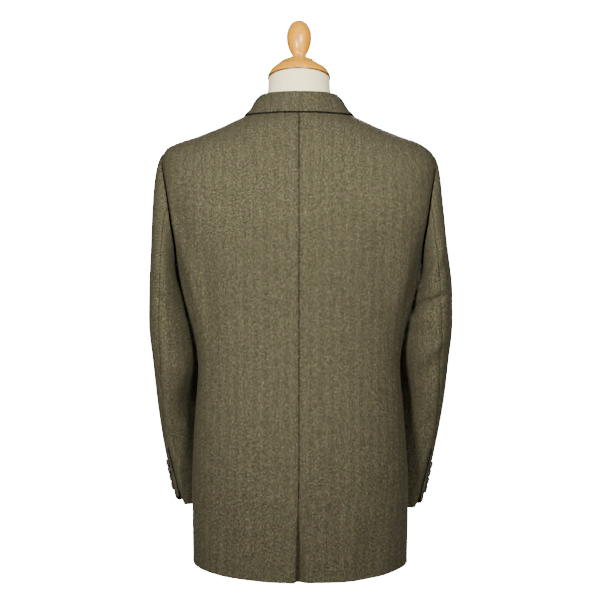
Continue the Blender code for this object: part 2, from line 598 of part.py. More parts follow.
def add_under_sleeve(side, material, collection):
    rows = SLEEVE_ROWS
    share = np.linspace(0.0, 1.0, 10)[None, :]
    lapped = rows > CUFF_VENT_ROW + CUFF_VENT_SINK_ROWS
    rear = (hindarm_seam(rows) + sleeve_seam_gap(rows) - CUFF_UNDERLAP_DEGREES * lapped)[:, None]
    fore = (360.0 + FOREARM_SEAM - sleeve_seam_gap(rows))[:, None]
    angles = rear + (fore - rear) * share
    grid_rows = np.repeat(rows[:, None], share.size, axis=1)
    near_vent = 1.0 - ramp(angles - hindarm_seam(grid_rows), CUFF_UNDERLAP_SINK)
    sink = -PLY * smooth((grid_rows - CUFF_VENT_ROW) / CUFF_VENT_SINK_ROWS) * near_vent
    outer, inner = sleeve_faces(angles, grid_rows, sink, side)
    return add_wall("under_sleeve_" + side, outer, inner, side, material, collection)


# ---------------------------------------------------------------- collar
def roll_angle(row, beyond=0.0):
    """The angle on the front at a distance beyond the roll line."""
    return float(front_angle_at(roll_x(row) + beyond, row))


# Collar stations from the centre back to the notch. The seam and the edge are places on the torso
# surface; the fold stands up from the seam and leans in towards the neck.
CollarStation = namedtuple(
    "CollarStation", "seam_angle seam_row fold_up fold_in fold_radius edge_angle edge_row")
COLLAR_SEAM_UP = 0.0009
COLLAR_SEAM_IN = 0.0002
COLLAR_FALL_CROWN = 0.0012
COLLAR = {
    "centre_back": CollarStation(90.0, 14.00, 0.0215, -0.0010, 0.0042, 90.0, 13.50),
    "back_quarter": CollarStation(45.0, 14.00, 0.0220, 0.0050, 0.0042, 47.0, 13.52),
    "side": CollarStation(0.0, 14.00, 0.0220, 0.0100, 0.0042, 2.0, 13.62),
    "front_side": CollarStation(-30.0, 14.00, 0.0190, 0.0070, 0.0042, -26.0, 13.35),
    "neck_front": CollarStation(
        roll_angle(13.7), 13.70, 0.0130, 0.0030, 0.0040, roll_angle(12.9, 0.049), 12.90),
    "chest": CollarStation(
        roll_angle(12.6), 12.60, 0.0075, 0.0010, 0.0036, roll_angle(11.9, 0.050), 11.90),
    "notch": CollarStation(
        roll_angle(11.26), 11.26, 0.0050, 0.0000, 0.0032, roll_angle(10.88, 0.048), 10.88),
}


def collar_section(station):
    """Line across the collar's outer face: up the stand, round the fold and down the fall."""
    seam_angle, seam_row, fold_up, fold_in, radius, edge_angle, edge_row = along(COLLAR, station)
    seam_row = np.minimum(seam_row, NECK_ROW)
    seam = off_torso(seam_angle, seam_row, 0.0 * seam_row)
    normal = surface_normal(torso_point, seam_angle, seam_row)
    level = np.array([normal[0], normal[1], 0.0])
    level = level / np.linalg.norm(level)
    seam = seam + np.array([0.0, 0.0, COLLAR_SEAM_UP]) - level * COLLAR_SEAM_IN
    fold = seam + np.array([0.0, 0.0, fold_up]) - level * fold_in
    edge = off_torso(edge_angle, edge_row, COLLAR_LIFT + 0.0 * edge_row)
    to_edge = (edge - fold) / np.linalg.norm(edge - fold)
    to_seam = (seam - fold) / np.linalg.norm(seam - fold)
    sideways = to_edge - to_seam
    sideways = sideways / np.linalg.norm(sideways)
    tip = -(to_edge + to_seam)
    tip = tip - sideways * np.dot(tip, sideways)
    tip = tip / np.linalg.norm(tip)
    turn = np.radians(np.linspace(0.0, 180.0, 6))[:, None]
    bend = fold + radius * (np.sin(turn) * tip - np.cos(turn) * sideways)
    stand = seam + (bend[0] - seam) * np.array([0.0, 0.5])[:, None]
    share = np.linspace(0.0, 1.0, 4)[1:, None]
    fall = bend[-1] + (edge - bend[-1]) * share
    fall = fall + COLLAR_FALL_CROWN * np.sin(np.pi * share) * tip
    return np.concatenate([stand, bend, fall])


def add_collar(material, collection):
    stations = np.linspace(0.0, len(COLLAR) - 1.0, 14)
    half = np.stack([collar_section(station) for station in stations])
    other = half[:0:-1] * np.array([-1.0, 1.0, 1.0])
    outer = np.concatenate([other, half])
    across = np.gradient(outer, axis=1)
    around = np.gradient(outer, axis=0)
    normal = np.cross(around, across)
    normal = normal / np.linalg.norm(normal, axis=-1, keepdims=True)
    inner = outer - normal * WALL
    return add_wall("collar", outer, inner, "L", material, collection)


# ---------------------------------------------------------------- buttons
def place_on(position, normal):
    turn = Vector(normal).to_track_quat("Z", "Y").to_matrix().to_4x4()
    return Matrix.Translation(Vector(position)) @ turn


def button_profile(radius):
    return ((radius * 0.62, BUTTON_THICKNESS * 0.72), (radius * 0.78, BUTTON_THICKNESS),
            (radius, BUTTON_THICKNESS * 0.55), (radius * 0.70, 0.0))


def add_front_buttons(material, collection):
    for index, (row, gap) in enumerate(zip(FRONT_BUTTON_ROWS, FRONT_BUTTON_GAPS)):
        angle, row = np.array(-90.0), np.array(row)
        position = off_torso(angle, row, np.array(gap))
        normal = surface_normal(torso_point, angle, row)
        name = "button_front_" + str(index + 1)
        profile = button_profile(FRONT_BUTTON_RADIUS)
        add_turned(name, profile, 18, place_on(position, normal), material, collection)


def add_cuff_buttons(side, material, collection):
    point = sleeve_surface(side)
    for index in range(CUFF_BUTTON_COUNT):
        row = np.array(CUFF_BUTTON_FIRST_ROW - index * CUFF_BUTTON_PITCH / CUFF_ROW_LENGTH)
        angle = hindarm_seam(row) - CUFF_BUTTON_INSET_DEGREES
        position = off_sleeve(point, angle, row, np.array(CUFF_BUTTON_GAP))
        normal = off_sleeve(point, angle, row, np.array(1.0)) - point(angle, row)
        if side == "R":
            position, normal = position * [-1, 1, 1], normal * [-1, 1, 1]
        name = "button_cuff_" + side + "_" + str(index + 1)
        profile = button_profile(CUFF_BUTTON_RADIUS)
        add_turned(name, profile, 12, place_on(position, normal), material, collection)


# ---------------------------------------------------------------- dress form
def add_form(material, collection):
    angles = np.linspace(0.0, 360.0, 33)[:-1]
    angles = np.where(angles > 180.0, angles - 360.0, angles)
    from_left = np.where(angles < -90.0, -180.0 - angles, angles)
    rings = []
    for row in np.concatenate([[0.0], np.linspace(0.5, 9.0, 12), np.linspace(9.6, 14.0, 8)]):
        gap = np.interp(row, np.arange(len(FORM_GAPS)), FORM_GAPS)
        offset = -WALL - gap + front_offset(from_left, "R")
        rings.append(off_torso(angles, np.full_like(angles, row), offset))
    rings[0][:, 2] = 0.0
    for z, half_width, half_depth, centre_y, tilt in NECK.values():
        y = centre_y + half_depth * np.sin(np.radians(angles))
        x = half_width * np.cos(np.radians(angles))
        rings.append(np.stack([x, y, z + math.tan(NECK_TILT) * tilt * (y - centre_y)], axis=-1))
    return add_loft("form_torso", np.stack(rings), material, collection)


def add_neck_cap_and_finial(material, collection):
    top_z, _, _, centre_y, _ = NECK["top"]
    axis = Vector((0.0, -math.sin(NECK_TILT), math.cos(NECK_TILT)))
    base = Vector((0.0, centre_y, top_z)) + axis * REST_GAP
    place = Matrix.Translation(base) @ Matrix.Rotation(NECK_TILT, 4, "X")
    add_turned("neck_cap", CAP_PROFILE, 28, place, material, collection)
    add_turned("finial", FINIAL_PROFILE, 24, place, material, collection)


def build():
    clear_scene()
    collection = make_collection("tweed_hacking_jacket")
    materials = {name: make_material(name) for name in FINISHES}
    tweed = materials["tweed"]
    add_form(materials["linen"], collection)
    add_neck_cap_and_finial(materials["wood"], collection)
    for side in ("L", "R"):
        add_back(side, tweed, collection)
        add_side(side, tweed, collection)
        add_front(side, tweed, collection)
        add_lapel(side, tweed, collection)
        add_pocket_flap(side, tweed, collection)
        add_top_sleeve(side, tweed, collection)
        add_under_sleeve(side, tweed, collection)
        add_cuff_buttons(side, materials["horn"], collection)
    add_collar(tweed, collection)
    add_front_buttons(materials["horn"], collection)


build()
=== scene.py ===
"""Looks of the tweed hacking jacket on its limbless dress form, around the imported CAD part.

Units are metres, +Z is up, the wearer faces -Y and the wearer's left is +X. Every piece of cloth is a
closed thin shell on the same torso or sleeve surface as its CAD solid, made finer, with its edges
rounded, its seams drawn in and its smaller creases added. Angles are degrees round the body: 0 is the
left side, 90 the centre back and -90 the centre front. The right half mirrors the left, with its own folds.
"""
import math

import bpy
import numpy as np
from mathutils import Matrix, Vector


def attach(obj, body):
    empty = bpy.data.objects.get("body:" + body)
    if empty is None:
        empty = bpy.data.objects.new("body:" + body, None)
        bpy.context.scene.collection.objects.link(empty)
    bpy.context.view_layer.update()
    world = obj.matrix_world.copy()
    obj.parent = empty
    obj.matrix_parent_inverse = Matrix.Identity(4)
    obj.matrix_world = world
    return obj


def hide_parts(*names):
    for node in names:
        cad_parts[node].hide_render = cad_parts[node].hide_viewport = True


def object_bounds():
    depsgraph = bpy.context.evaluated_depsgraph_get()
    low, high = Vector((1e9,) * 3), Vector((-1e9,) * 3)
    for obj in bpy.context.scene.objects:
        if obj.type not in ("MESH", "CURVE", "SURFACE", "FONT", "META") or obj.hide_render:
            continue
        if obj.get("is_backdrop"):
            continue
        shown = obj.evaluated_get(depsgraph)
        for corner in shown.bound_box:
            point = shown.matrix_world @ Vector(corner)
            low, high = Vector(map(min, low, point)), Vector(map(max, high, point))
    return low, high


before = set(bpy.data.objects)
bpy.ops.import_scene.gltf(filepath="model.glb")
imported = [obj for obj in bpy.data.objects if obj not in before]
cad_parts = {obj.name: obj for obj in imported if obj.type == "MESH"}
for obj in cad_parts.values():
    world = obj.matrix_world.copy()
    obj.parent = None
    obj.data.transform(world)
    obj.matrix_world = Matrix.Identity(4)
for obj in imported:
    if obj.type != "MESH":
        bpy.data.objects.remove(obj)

cad_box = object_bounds()

# ---------------------------------------------------------------- camera, light and floor
# The camera looks at the jacket's back from 2.4 m away, tilted 2.4 degrees down. Two soft boxes light the
# back from both sides and one lights the front; the floor is a wide pale bowl with a far, high rim.
scene = bpy.context.scene
CAMERA_TILT = math.radians(2.4)
CAMERA_REACH = 2.4
CAMERA_AIM = Vector((-0.0016, 0.0, 0.461))
look = Vector((0.0, -math.cos(CAMERA_TILT), -math.sin(CAMERA_TILT)))
camera = bpy.data.objects.new("camera", bpy.data.cameras.new("camera"))
camera.data.lens = 83.7
camera.data.sensor_width = 36.0
camera.location = CAMERA_AIM - look * CAMERA_REACH
camera.rotation_euler = look.to_track_quat("-Z", "Y").to_euler()
scene.collection.objects.link(camera)
scene.camera = camera

SKY_LIGHT = 0.22                      # the sky's strength on things, and as the camera sees it
SKY_SEEN = 26.0
FLOOR_SEEN = 25.0                     # the floor glows for the camera alone
SOFTBOX_COLOUR = (1.0, 0.985, 0.955)
SOFTBOX_SPREAD = math.radians(92.0)
SOFTBOXES = {
    # place, aim, size, power
    "right_key": ((-0.48, 1.40, 1.26), (0.0, 0.0, 0.62), 0.36, 8.9),
    "left_key": ((0.60, 1.36, 0.78), (0.0, 0.0, 0.54), 0.36, 9.2),
    "front_key": ((-0.10, -1.55, 1.30), (0.0, 0.0, 0.55), 0.40, 18.0),
}
for name, (place, aim, size, power) in SOFTBOXES.items():
    lamp = bpy.data.lights.new(name, "AREA")
    lamp.shape, lamp.size, lamp.energy = "SQUARE", size, power
    lamp.color, lamp.spread = SOFTBOX_COLOUR, SOFTBOX_SPREAD
    softbox = bpy.data.objects.new(name, lamp)
    softbox.location = place
    softbox.rotation_euler = (Vector(aim) - Vector(place)).to_track_quat("-Z", "Y").to_euler()
    softbox.visible_camera = False
    scene.collection.objects.link(softbox)


def wire(owner, kind, inputs, **settings):
    """Adds a shader node; each input is a value, or the socket that feeds it."""
    added = owner.node_tree.nodes.new("ShaderNode" + kind)
    for name, value in settings.items():
        setattr(added, name, value)
    for name, value in inputs.items():
        if isinstance(value, bpy.types.NodeSocket):
            owner.node_tree.links.new(value, added.inputs[name])
        else:
            added.inputs[name].default_value = value
    return added


def feed(owner, socket, shader_input):
    """Joins a node's output to a shader's input."""
    owner.node_tree.links.new(socket, shader_input)


def by_ray(owner, unseen, seen):
    """One strength for the light that falls on things, and another for what the camera sees."""
    ray = wire(owner, "LightPath", {}).outputs["Is Camera Ray"]
    return wire(owner, "MapRange", {"Value": ray, "To Min": unseen, "To Max": seen}).outputs["Result"]


def new_material(name, **finish):
    """A material and its shader, set up by the names of the shader's inputs, with _ for a space."""
    material = bpy.data.materials.new(name)
    material.use_nodes = True
    shader = material.node_tree.nodes["Principled BSDF"]
    for key, value in finish.items():
        shader.inputs[key.replace("_", " ")].default_value = value
    return material, shader


def add_mesh(name, points, faces, material):
    """A smooth mesh of one material, in the scene."""
    mesh = bpy.data.meshes.new(name)
    mesh.from_pydata(points.reshape(-1, 3).tolist(), [], faces)
    mesh.materials.append(material)
    mesh.shade_smooth()
    item = bpy.data.objects.new(name, mesh)
    scene.collection.objects.link(item)
    return item


def ring_faces(rings, columns):
    """Faces between closed rings of points, with a middle point beyond each end ring."""
    column = np.arange(columns)
    after = np.roll(column, -1)
    faces = []
    for ring in range(rings - 1):
        low, high = ring * columns, (ring + 1) * columns
        faces += np.stack([low + column, low + after, high + after, high + column], -1).tolist()
    first, last = rings * columns, rings * columns + 1
    top = (rings - 1) * columns
    faces += np.stack([np.full(columns, first), after, column], -1).tolist()
    faces += np.stack([np.full(columns, last), top + column, top + after], -1).tolist()
    return faces


def add_closed(name, rings, material):
    """A closed skin through rings of points, an array of (ring, column, xyz)."""
    ends = np.stack([rings[0].mean(axis=0), rings[-1].mean(axis=0)])
    points = np.concatenate([rings.reshape(-1, 3), ends])
    return add_mesh(name, points, ring_faces(*rings.shape[:2]), material)


def full_turn(steps):
    """Even angles once round, in radians, from 0 and without the last one."""
    return np.linspace(0.0, 2.0 * math.pi, steps + 1)[:-1]


def revolve(radius, height, steps):
    """Rings of a surface of revolution round Z: each radius is turned once round, at its height."""
    turn = full_turn(steps)
    radius, height = radius[:, None], height[:, None]
    return np.stack([radius * np.cos(turn), radius * np.sin(turn), height + 0.0 * turn], -1)


world = bpy.data.worlds.new("studio")
scene.world = world
world.use_nodes = True
backdrop = world.node_tree.nodes["Background"]
backdrop.inputs["Color"].default_value = (0.98, 0.99, 1.0, 1.0)
feed(world, by_ray(world, SKY_LIGHT, SKY_SEEN), backdrop.inputs["Strength"])

floor_material, shader = new_material("studio_floor", Base_Color=(0.45, 0.45, 0.44, 1.0), Roughness=0.9,
                                      Emission_Color=(1.0, 1.0, 1.0, 1.0))
feed(floor_material, by_ray(floor_material, 0.0, FLOOR_SEEN), shader.inputs["Emission Strength"])
BOWL_RADIUS = np.array([8.0, 12.0, 12.0, 11.6, 11.55, 11.2, 10.4, 9.2, 8.0, 4.0, 0.3])
BOWL_HEIGHT = np.array([-0.3, -0.3, 8.0, 8.0, 3.0, 1.0, 0.25, 0.02, 0.0, 0.0, 0.0])
FLOOR_CLEARANCE = 0.0004
bowl = revolve(BOWL_RADIUS, BOWL_HEIGHT - FLOOR_CLEARANCE, 96)
studio_floor = add_closed("studio_floor", bowl, floor_material)
studio_floor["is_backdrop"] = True

# ---------------------------------------------------------------- linen dress form
# A padded, limbless torso with its neck, covered in off-white linen: panels sewn with a groove at the
# centre back, the centre front and both sides. It stands on the floor, clear of the cloth all round.
TORSO = np.array([
    # side z, half width, squareness, back z, back depth, front z, front depth
    (0.0120, 0.1835, 2.25, 0.0040, 0.1430, 0.0060, 0.1280),
    (0.0930, 0.1840, 2.25, 0.0870, 0.1420, 0.0890, 0.1300),
    (0.1780, 0.1835, 2.25, 0.1720, 0.1370, 0.1740, 0.1300),
    (0.2670, 0.1790, 2.25, 0.2610, 0.1220, 0.2630, 0.1270),
    (0.3520, 0.1730, 2.25, 0.3460, 0.1060, 0.3500, 0.1230),
    (0.4230, 0.1840, 2.30, 0.4170, 0.1020, 0.4330, 0.1290),
    (0.4900, 0.2010, 2.50, 0.4840, 0.1080, 0.5060, 0.1350),
    (0.5450, 0.2130, 2.80, 0.5390, 0.1170, 0.5670, 0.1360),
    (0.5970, 0.2260, 3.20, 0.5900, 0.1240, 0.6150, 0.1300),
    (0.6510, 0.2315, 3.40, 0.6400, 0.1240, 0.6560, 0.1190),
    (0.7020, 0.2315, 3.20, 0.6800, 0.1185, 0.6850, 0.1080),
    (0.7265, 0.2080, 2.80, 0.7140, 0.1090, 0.7080, 0.0980),
    (0.7420, 0.1680, 2.40, 0.7410, 0.0985, 0.7260, 0.0890),
    (0.7575, 0.1300, 2.20, 0.7630, 0.0870, 0.7410, 0.0800),
    (0.7840, 0.0740, 2.00, 0.7850, 0.0660, 0.7540, 0.0680),
])
NECK_ROW = 14.0
WALL = 0.0020
PLY = 0.0026
FRONT_LAP_ANGLES = (-62.0, -85.0)
FORM_GAPS = (0.022, 0.022, 0.019, 0.015, 0.013, 0.013, 0.012, 0.010, 0.0068, 0.0045, 0.0024, 0.0014,
             0.0014, 0.0014, 0.0030)
FORM_SEAMS = (0.0, 90.0, 180.0, 270.0)
FORM_SEAM_DEGREES = 0.70
FORM_SEAM_DEPTH = 0.0006
NECK_SEAM_DEPTH = 0.0012
NECK_RINGS = np.array([
    # z, half width, half depth, centre y, tilt
    (0.796, 0.0600, 0.0580, 0.000, 0.10),
    (0.815, 0.0540, 0.0535, -0.001, 0.60),
    (0.838, 0.0525, 0.0525, -0.002, 1.00),
])
NECK_TILT = math.radians(14.0)


def smooth(value):
    """Ease from 0 to 1 as the value goes from 0 to 1."""
    value = np.clip(value, 0.0, 1.0)
    return value * value * (3.0 - 2.0 * value)


def ramp(value, limits):
    """Ease from 0 at the first limit to 1 at the second."""
    return smooth((value - limits[0]) / (limits[1] - limits[0]))


def along(table, row):
    """All columns of a table at a row, by a Catmull-Rom curve through its rows."""
    last = len(table) - 1
    row = np.clip(np.asarray(row, dtype=float), 0.0, last)
    start = np.minimum(row.astype(int), last - 1)
    part = (row - start)[..., None]
    here, after = table[start], table[start + 1]
    before = np.where((start > 0)[..., None], table[np.maximum(start - 1, 0)], 2 * here - after)
    beyond = np.where((start + 2 <= last)[..., None], table[np.minimum(start + 2, last)], 2 * after - here)
    bend = 2 * before - 5 * here + 4 * after - beyond
    twist = -before + 3 * here - 3 * after + beyond
    return np.moveaxis(here + 0.5 * part * ((after - before) + part * (bend + part * twist)), -1, 0)


def torso_point(angle, row):
    """The body's surface: at each row a superellipse whose side, back and front have their heights."""
    side_z, width, square, back_z, back_depth, front_z, front_depth = along(TORSO, row)
    cos, sin = np.cos(np.radians(angle)), np.sin(np.radians(angle))
    reach = (np.abs(cos) ** square + np.abs(sin) ** square) ** (-1.0 / square)
    depth = np.where(sin >= 0, back_depth, front_depth)
    middle_z = np.where(sin >= 0, back_z, front_z)
    height = side_z + (middle_z - side_z) * sin * sin
    return np.stack([width * cos * reach, depth * sin * reach, height], axis=-1)


def off_torso(angle, row, out):
    """A torso point moved out along the surface's normal, found by central differences."""
    angle, row = np.broadcast_arrays(np.asarray(angle, float), np.asarray(row, float))
    tangent = torso_point(angle + 0.05, row) - torso_point(angle - 0.05, row)
    rise = torso_point(angle, row + 0.002) - torso_point(angle, row - 0.002)
    return torso_point(angle, row) + unit(np.cross(tangent, rise)) * np.asarray(out)[..., None]


def unit(vector):
    """Each vector divided by its length."""
    return vector / np.linalg.norm(vector, axis=-1, keepdims=True)


def place_on(material):
    """The place in the object, in metres."""
    return wire(material, "TexCoord", {}).outputs["Object"]


def stretched(material, vector, scale):
    """A place multiplied by its own scale along each axis."""
    return wire(material, "Mapping", {"Vector": vector, "Scale": scale}).outputs["Vector"]


def cloudy(material, vector, scale=1.0, detail=2.0):
    """Cloudy noise between 0 and 1."""
    return wire(material, "TexNoise", {"Vector": vector, "Scale": scale, "Detail": detail}).outputs["Fac"]


def maths(material, operation, *values):
    """One operation on numbers or sockets."""
    return wire(material, "Math", dict(enumerate(values)), operation=operation).outputs[0]


def tinted(material, factor, *stops):
    """Colour by a factor: it blends through the stops, each a place along the factor and its colour."""
    added = wire(material, "ValToRGB", {"Fac": factor})
    elements = added.color_ramp.elements
    for element, (position, colour) in zip(elements, (stops[0], stops[-1])):
        element.position, element.color = position, (*colour, 1.0)
    for position, colour in stops[1:-1]:
        elements.new(position).color = (*colour, 1.0)
    return added.outputs["Color"]


def emboss(material, shader, height, strength, distance):
    """Tilts the shading by the slope of a height."""
    bump = wire(material, "Bump", {"Height": height, "Strength": strength, "Distance": distance})
    feed(material, bump.outputs["Normal"], shader.inputs["Normal"])


linen, shader = new_material("linen", Roughness=0.88, Sheen_Weight=0.15)
warp = cloudy(linen, stretched(linen, place_on(linen), (900.0, 900.0, 60.0)))
weft = cloudy(linen, stretched(linen, place_on(linen), (70.0, 70.0, 900.0)))
weave = maths(linen, "ADD", warp, weft)
cream = tinted(linen, maths(linen, "MULTIPLY", weave, 0.5),
               (0.32, (0.98, 0.84, 0.46)), (0.62, (1.0, 0.93, 0.58)))
feed(linen, cream, shader.inputs["Base Color"])
emboss(linen, shader, weave, 0.35, 0.0004)

beside_seam = np.array([-0.9, -0.45, 0.45, 0.9])
angles = np.concatenate([np.linspace(0.0, 360.0, 145)[:-1], *(seam + beside_seam for seam in FORM_SEAMS)])
angles = np.unique(np.mod(np.round(angles, 4), 360.0))
signed = np.where(angles > 180.0, angles - 360.0, angles)
from_left = np.where(signed < -90.0, -180.0 - signed, signed)
away = (signed - np.array(FORM_SEAMS)[:, None] + 180.0) % 360.0 - 180.0
groove = np.exp(-(away / FORM_SEAM_DEGREES) ** 2).sum(axis=0)
rows = np.linspace(0.0, NECK_ROW, 120)[:, None]
inset = WALL + np.interp(rows, np.arange(len(FORM_GAPS)), FORM_GAPS) + FORM_SEAM_DEPTH * groove
inset = inset + 2 * PLY * ramp(from_left, FRONT_LAP_ANGLES)
padding = off_torso(signed, rows, -inset)
padding[0, :, 2] = 0.0
z, half_width, half_depth, centre_y, tilt = along(NECK_RINGS, np.linspace(0.0, 2.0, 22)[:, None])
x = (half_width - NECK_SEAM_DEPTH * groove) * np.cos(np.radians(signed))
y = centre_y + (half_depth - NECK_SEAM_DEPTH * groove) * np.sin(np.radians(signed))
neck = np.stack([x, y, z + math.tan(NECK_TILT) * tilt * (y - centre_y)], axis=-1)
dress_form = add_closed("dress_form", np.concatenate([padding, neck]), linen)
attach(dress_form, "root")
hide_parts("form_torso")

# ---------------------------------------------------------------- neck cap and finial
# Turned and varnished wood: a domed cap that closes the neck, and an egg-shaped finial on a small ring,
# both tilted with the neck. The profiles are (radius, height) from the foot up.
CAP_PROFILE = np.array([
    (0.0530, 0.0), (0.0538, 0.0012), (0.0538, 0.0040), (0.0530, 0.0068), (0.0515, 0.0095), (0.0488, 0.0138),
    (0.0450, 0.0180), (0.0405, 0.0216), (0.0345, 0.0275), (0.0285, 0.0316), (0.0220, 0.0348),
    (0.0165, 0.0367), (0.0130, 0.0375), (0.0060, 0.0377)])
FINIAL_PROFILE = np.array([
    (0.0118, 0.0378), (0.0132, 0.0384), (0.0136, 0.0394), (0.0130, 0.0404), (0.0118, 0.0412),
    (0.0117, 0.0428), (0.0126, 0.0452), (0.0142, 0.0485), (0.0160, 0.0519), (0.0180, 0.0569),
    (0.0197, 0.0627), (0.0209, 0.0686), (0.0215, 0.0744), (0.0214, 0.0795), (0.0207, 0.0850),
    (0.0194, 0.0900), (0.0175, 0.0942), (0.0148, 0.0989), (0.0118, 0.1023), (0.0086, 0.1045),
    (0.0050, 0.1058), (0.0018, 0.1062)])
CAP_CLEARANCE = 0.0003
# Painted shade: a dark red-brown colour at the cap's foot, standing in for the shade on the underside of its rim.
RIM_PAINTED_SHADE = (0.10, 0.022, 0.006, 1.0)
neck_axis = Vector((0.0, -math.sin(NECK_TILT), math.cos(NECK_TILT)))
neck_top = Matrix.Translation(Vector((0.0, -0.002, 0.838)) + neck_axis * CAP_CLEARANCE)
neck_top = neck_top @ Matrix.Rotation(NECK_TILT, 4, "X")
rim_height = neck_top.translation.dot(neck_axis)

wood, shader = new_material("varnished_wood", Roughness=0.36, Coat_Weight=0.5, Coat_Roughness=0.22)
place = place_on(wood)
drift = wire(wood, "TexNoise", {"Vector": place, "Scale": 9.0, "Detail": 2.0}).outputs["Color"]
bent = wire(wood, "MixRGB", {"Fac": 0.03, "Color1": place, "Color2": drift}, blend_type="ADD").outputs[0]
grain = cloudy(wood, stretched(wood, bent, (260.0, 260.0, 9.0)), detail=5.0)
pore = cloudy(wood, stretched(wood, place, (900.0, 900.0, 30.0)))
honey = tinted(wood, maths(wood, "MULTIPLY_ADD", pore, 0.3, grain),
               (0.30, (0.54, 0.19, 0.002)), (0.86, (0.92, 0.41, 0.006)))
# Painted shade: from the rim up to a few millimetres above it, the base colour turns to the dark rim colour.
height = wire(wood, "VectorMath", {0: place, 1: tuple(neck_axis)}, operation="DOT_PRODUCT").outputs["Value"]
above_rim = wire(wood, "MapRange", {"Value": height, "From Min": rim_height + 0.0012,
                                    "From Max": rim_height + 0.0034}).outputs["Result"]
rim_shaded = wire(wood, "MixRGB", {"Fac": above_rim, "Color1": RIM_PAINTED_SHADE, "Color2": honey}).outputs[0]
feed(wood, rim_shaded, shader.inputs["Base Color"])
emboss(wood, shader, grain, 0.12, 0.0004)

for name, profile in (("neck_cap", CAP_PROFILE), ("finial", FINIAL_PROFILE)):
    radius, height = along(profile, np.linspace(0.0, len(profile) - 1.0, 4 * len(profile)))
    points = revolve(radius, height, 96) @ np.array(neck_top.to_3x3()).T + np.array(neck_top.translation)
    wood_piece = add_closed(name + "_wood", points, wood)
    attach(wood_piece, "root")
    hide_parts(name)

# ---------------------------------------------------------------- tweed, and the two backs
# Wool tweed, an olive-brown herringbone with heathered streaks and a few coloured flecks, woven up the
# length of each piece. The backs meet in a sewn centre seam, and lap below it, left over right, as a vent.
BODY_FOLDS = {
    # side, angle, row, half width in degrees, half length in rows, degrees per row, height
    "side ridge left":     ("L", 15.0, 5.55, 8.0, 0.75, 0.0, 0.0036),
    "side ridge right":    ("R", 15.0, 5.55, 8.0, 0.75, 0.0, 0.0036),
    "armhole trough left": ("L", 40.0, 8.00, 5.5, 0.95, 1.6, -0.0050),
    "blade trough left":   ("L", 62.5, 8.90, 4.5, 0.80, -1.0, -0.0026),
    "blade ridge left":    ("L", 70.0, 9.00, 7.0, 1.10, -1.0, 0.0030),
    "back trough left":    ("L", 44.0, 6.00, 5.5, 1.30, 4.7, -0.0060),
    "arm ridge left":      ("L", 34.0, 6.40, 5.5, 0.90, 3.0, 0.0036),
    "back trough right":   ("R", 56.0, 7.20, 6.5, 1.15, 6.0, -0.0058),
    "arm ridge right":     ("R", 37.0, 6.30, 6.5, 0.90, 4.0, 0.0040),
    "waist trough right":  ("R", 74.0, 3.70, 5.0, 0.90, 0.5, -0.0026),
    "skirt trough left":   ("L", 50.0, 0.70, 6.5, 0.80, 1.0, -0.0034),
    "skirt ridge left":    ("L", 62.0, 1.60, 7.0, 1.10, 0.5, 0.0026),
    "skirt trough right":  ("R", 70.0, 1.50, 5.0, 0.80, 1.0, -0.0030),
    "hem trough right":    ("R", 52.0, 0.40, 7.0, 0.70, -2.0, -0.0036),
    "hip ridge right":     ("R", 14.0, 1.00, 20.0, 1.90, 0.0, 0.0046),
    "shoulder ridge left": ("L", 4.0, 10.50, 26.0, 0.55, 0.0, 0.0040),
    "side trough left":    ("L", -13.0, 5.30, 6.0, 0.85, 1.0, -0.0028),
    "side trough right":   ("R", -11.0, 5.60, 5.5, 0.75, -1.5, -0.0032),
    "chest trough left":   ("L", -45.0, 7.30, 6.0, 1.00, -2.5, -0.0030),
    "chest trough right":  ("R", -43.0, 7.00, 6.5, 0.85, -3.5, -0.0026),
    "waist drag left":     ("L", -58.0, 4.62, 8.0, 0.30, 55.0, -0.0022),
    "waist drag right":    ("R", -56.0, 4.80, 9.0, 0.26, 60.0, -0.0020),
    "skirt flute left":    ("L", -32.0, 1.20, 7.0, 1.20, 1.0, -0.0026),
    "skirt flute right":   ("R", -29.0, 0.90, 7.5, 1.30, -1.0, -0.0022),
}
SEAM_DEGREES = -0.01
BACK_SIDE_SEAM = -3.0
ARMHOLE_ROW = 8.4
ARMHOLE_HALF_ROWS = 1.9
ARMHOLE_BACK_DEGREES = 31.0
ARMHOLE_FRONT_DEGREES = 28.0
UNDERARM_ROW = ARMHOLE_ROW - ARMHOLE_HALF_ROWS
VENT_ROW = 2.1
VENT_PRESS_ROWS = 0.525               # rows over which the vent's edge lifts off below its top
VENT_LIFT_ANGLES = (64.0, 75.0)       # the left side of the vent lifts to its lap between these
VENT_OPEN_X = 0.006                   # how far the left edge swings open at the hem
VENT_EDGE_LIFT = 0.0028               # how much more that edge lifts at the hem
VENT_EDGE_ANGLES = (80.0, 90.0)
VENT_SINK = 0.0140                    # how far the right side sinks in at the hem
VENT_SINK_ANGLES = (86.4, 90.4)
VENT_UNDERLAP_DEGREES = 13.0
VENT_UNDERLAP_ROWS = 0.04
CENTRE_SHADE_SINK = 0.0013
HEM_DROP = {"L": 0.0, "R": 0.0026}
HEM_DROP_ANGLE = 56.0
HEM_DROP_DEGREES = 22.0
COLLAR_EDGE = ((2.0, 47.0, 90.0), (13.66, 13.49, 13.45))    # angles and rows under the collar's edge
COLLAR_PRESS = 0.0013                 # the cloth is pressed in there
COLLAR_PRESS_ROWS = 0.055
FINE_RIPPLE = 0.00022
BROAD_RIPPLE = 0.00035
SEAM_SINK = 0.0011
SEAM_REACH = 0.0030
SEAM_ROUND = 0.0016                   # how far from a seam the cloth's face starts to turn in
SEAM_CLOSING = (0.0017, 0.0001)       # how far the outer and the inner face turn in at a seam
PUCKER_SINK = 0.00022
PUCKER_REACH = 0.008
EDGE_ROUND = 0.0010
EDGE_CLOSING = (0.00092, 0.00092)
EDGE_SWELL = 0.00035
EDGE_SWELL_INSET = 0.0030
EDGE_SWELL_REACH = 0.0022
STITCH_INSET = 0.0060
STITCH_DIP = 0.00058
STITCH_DIP_REACH = 0.0011
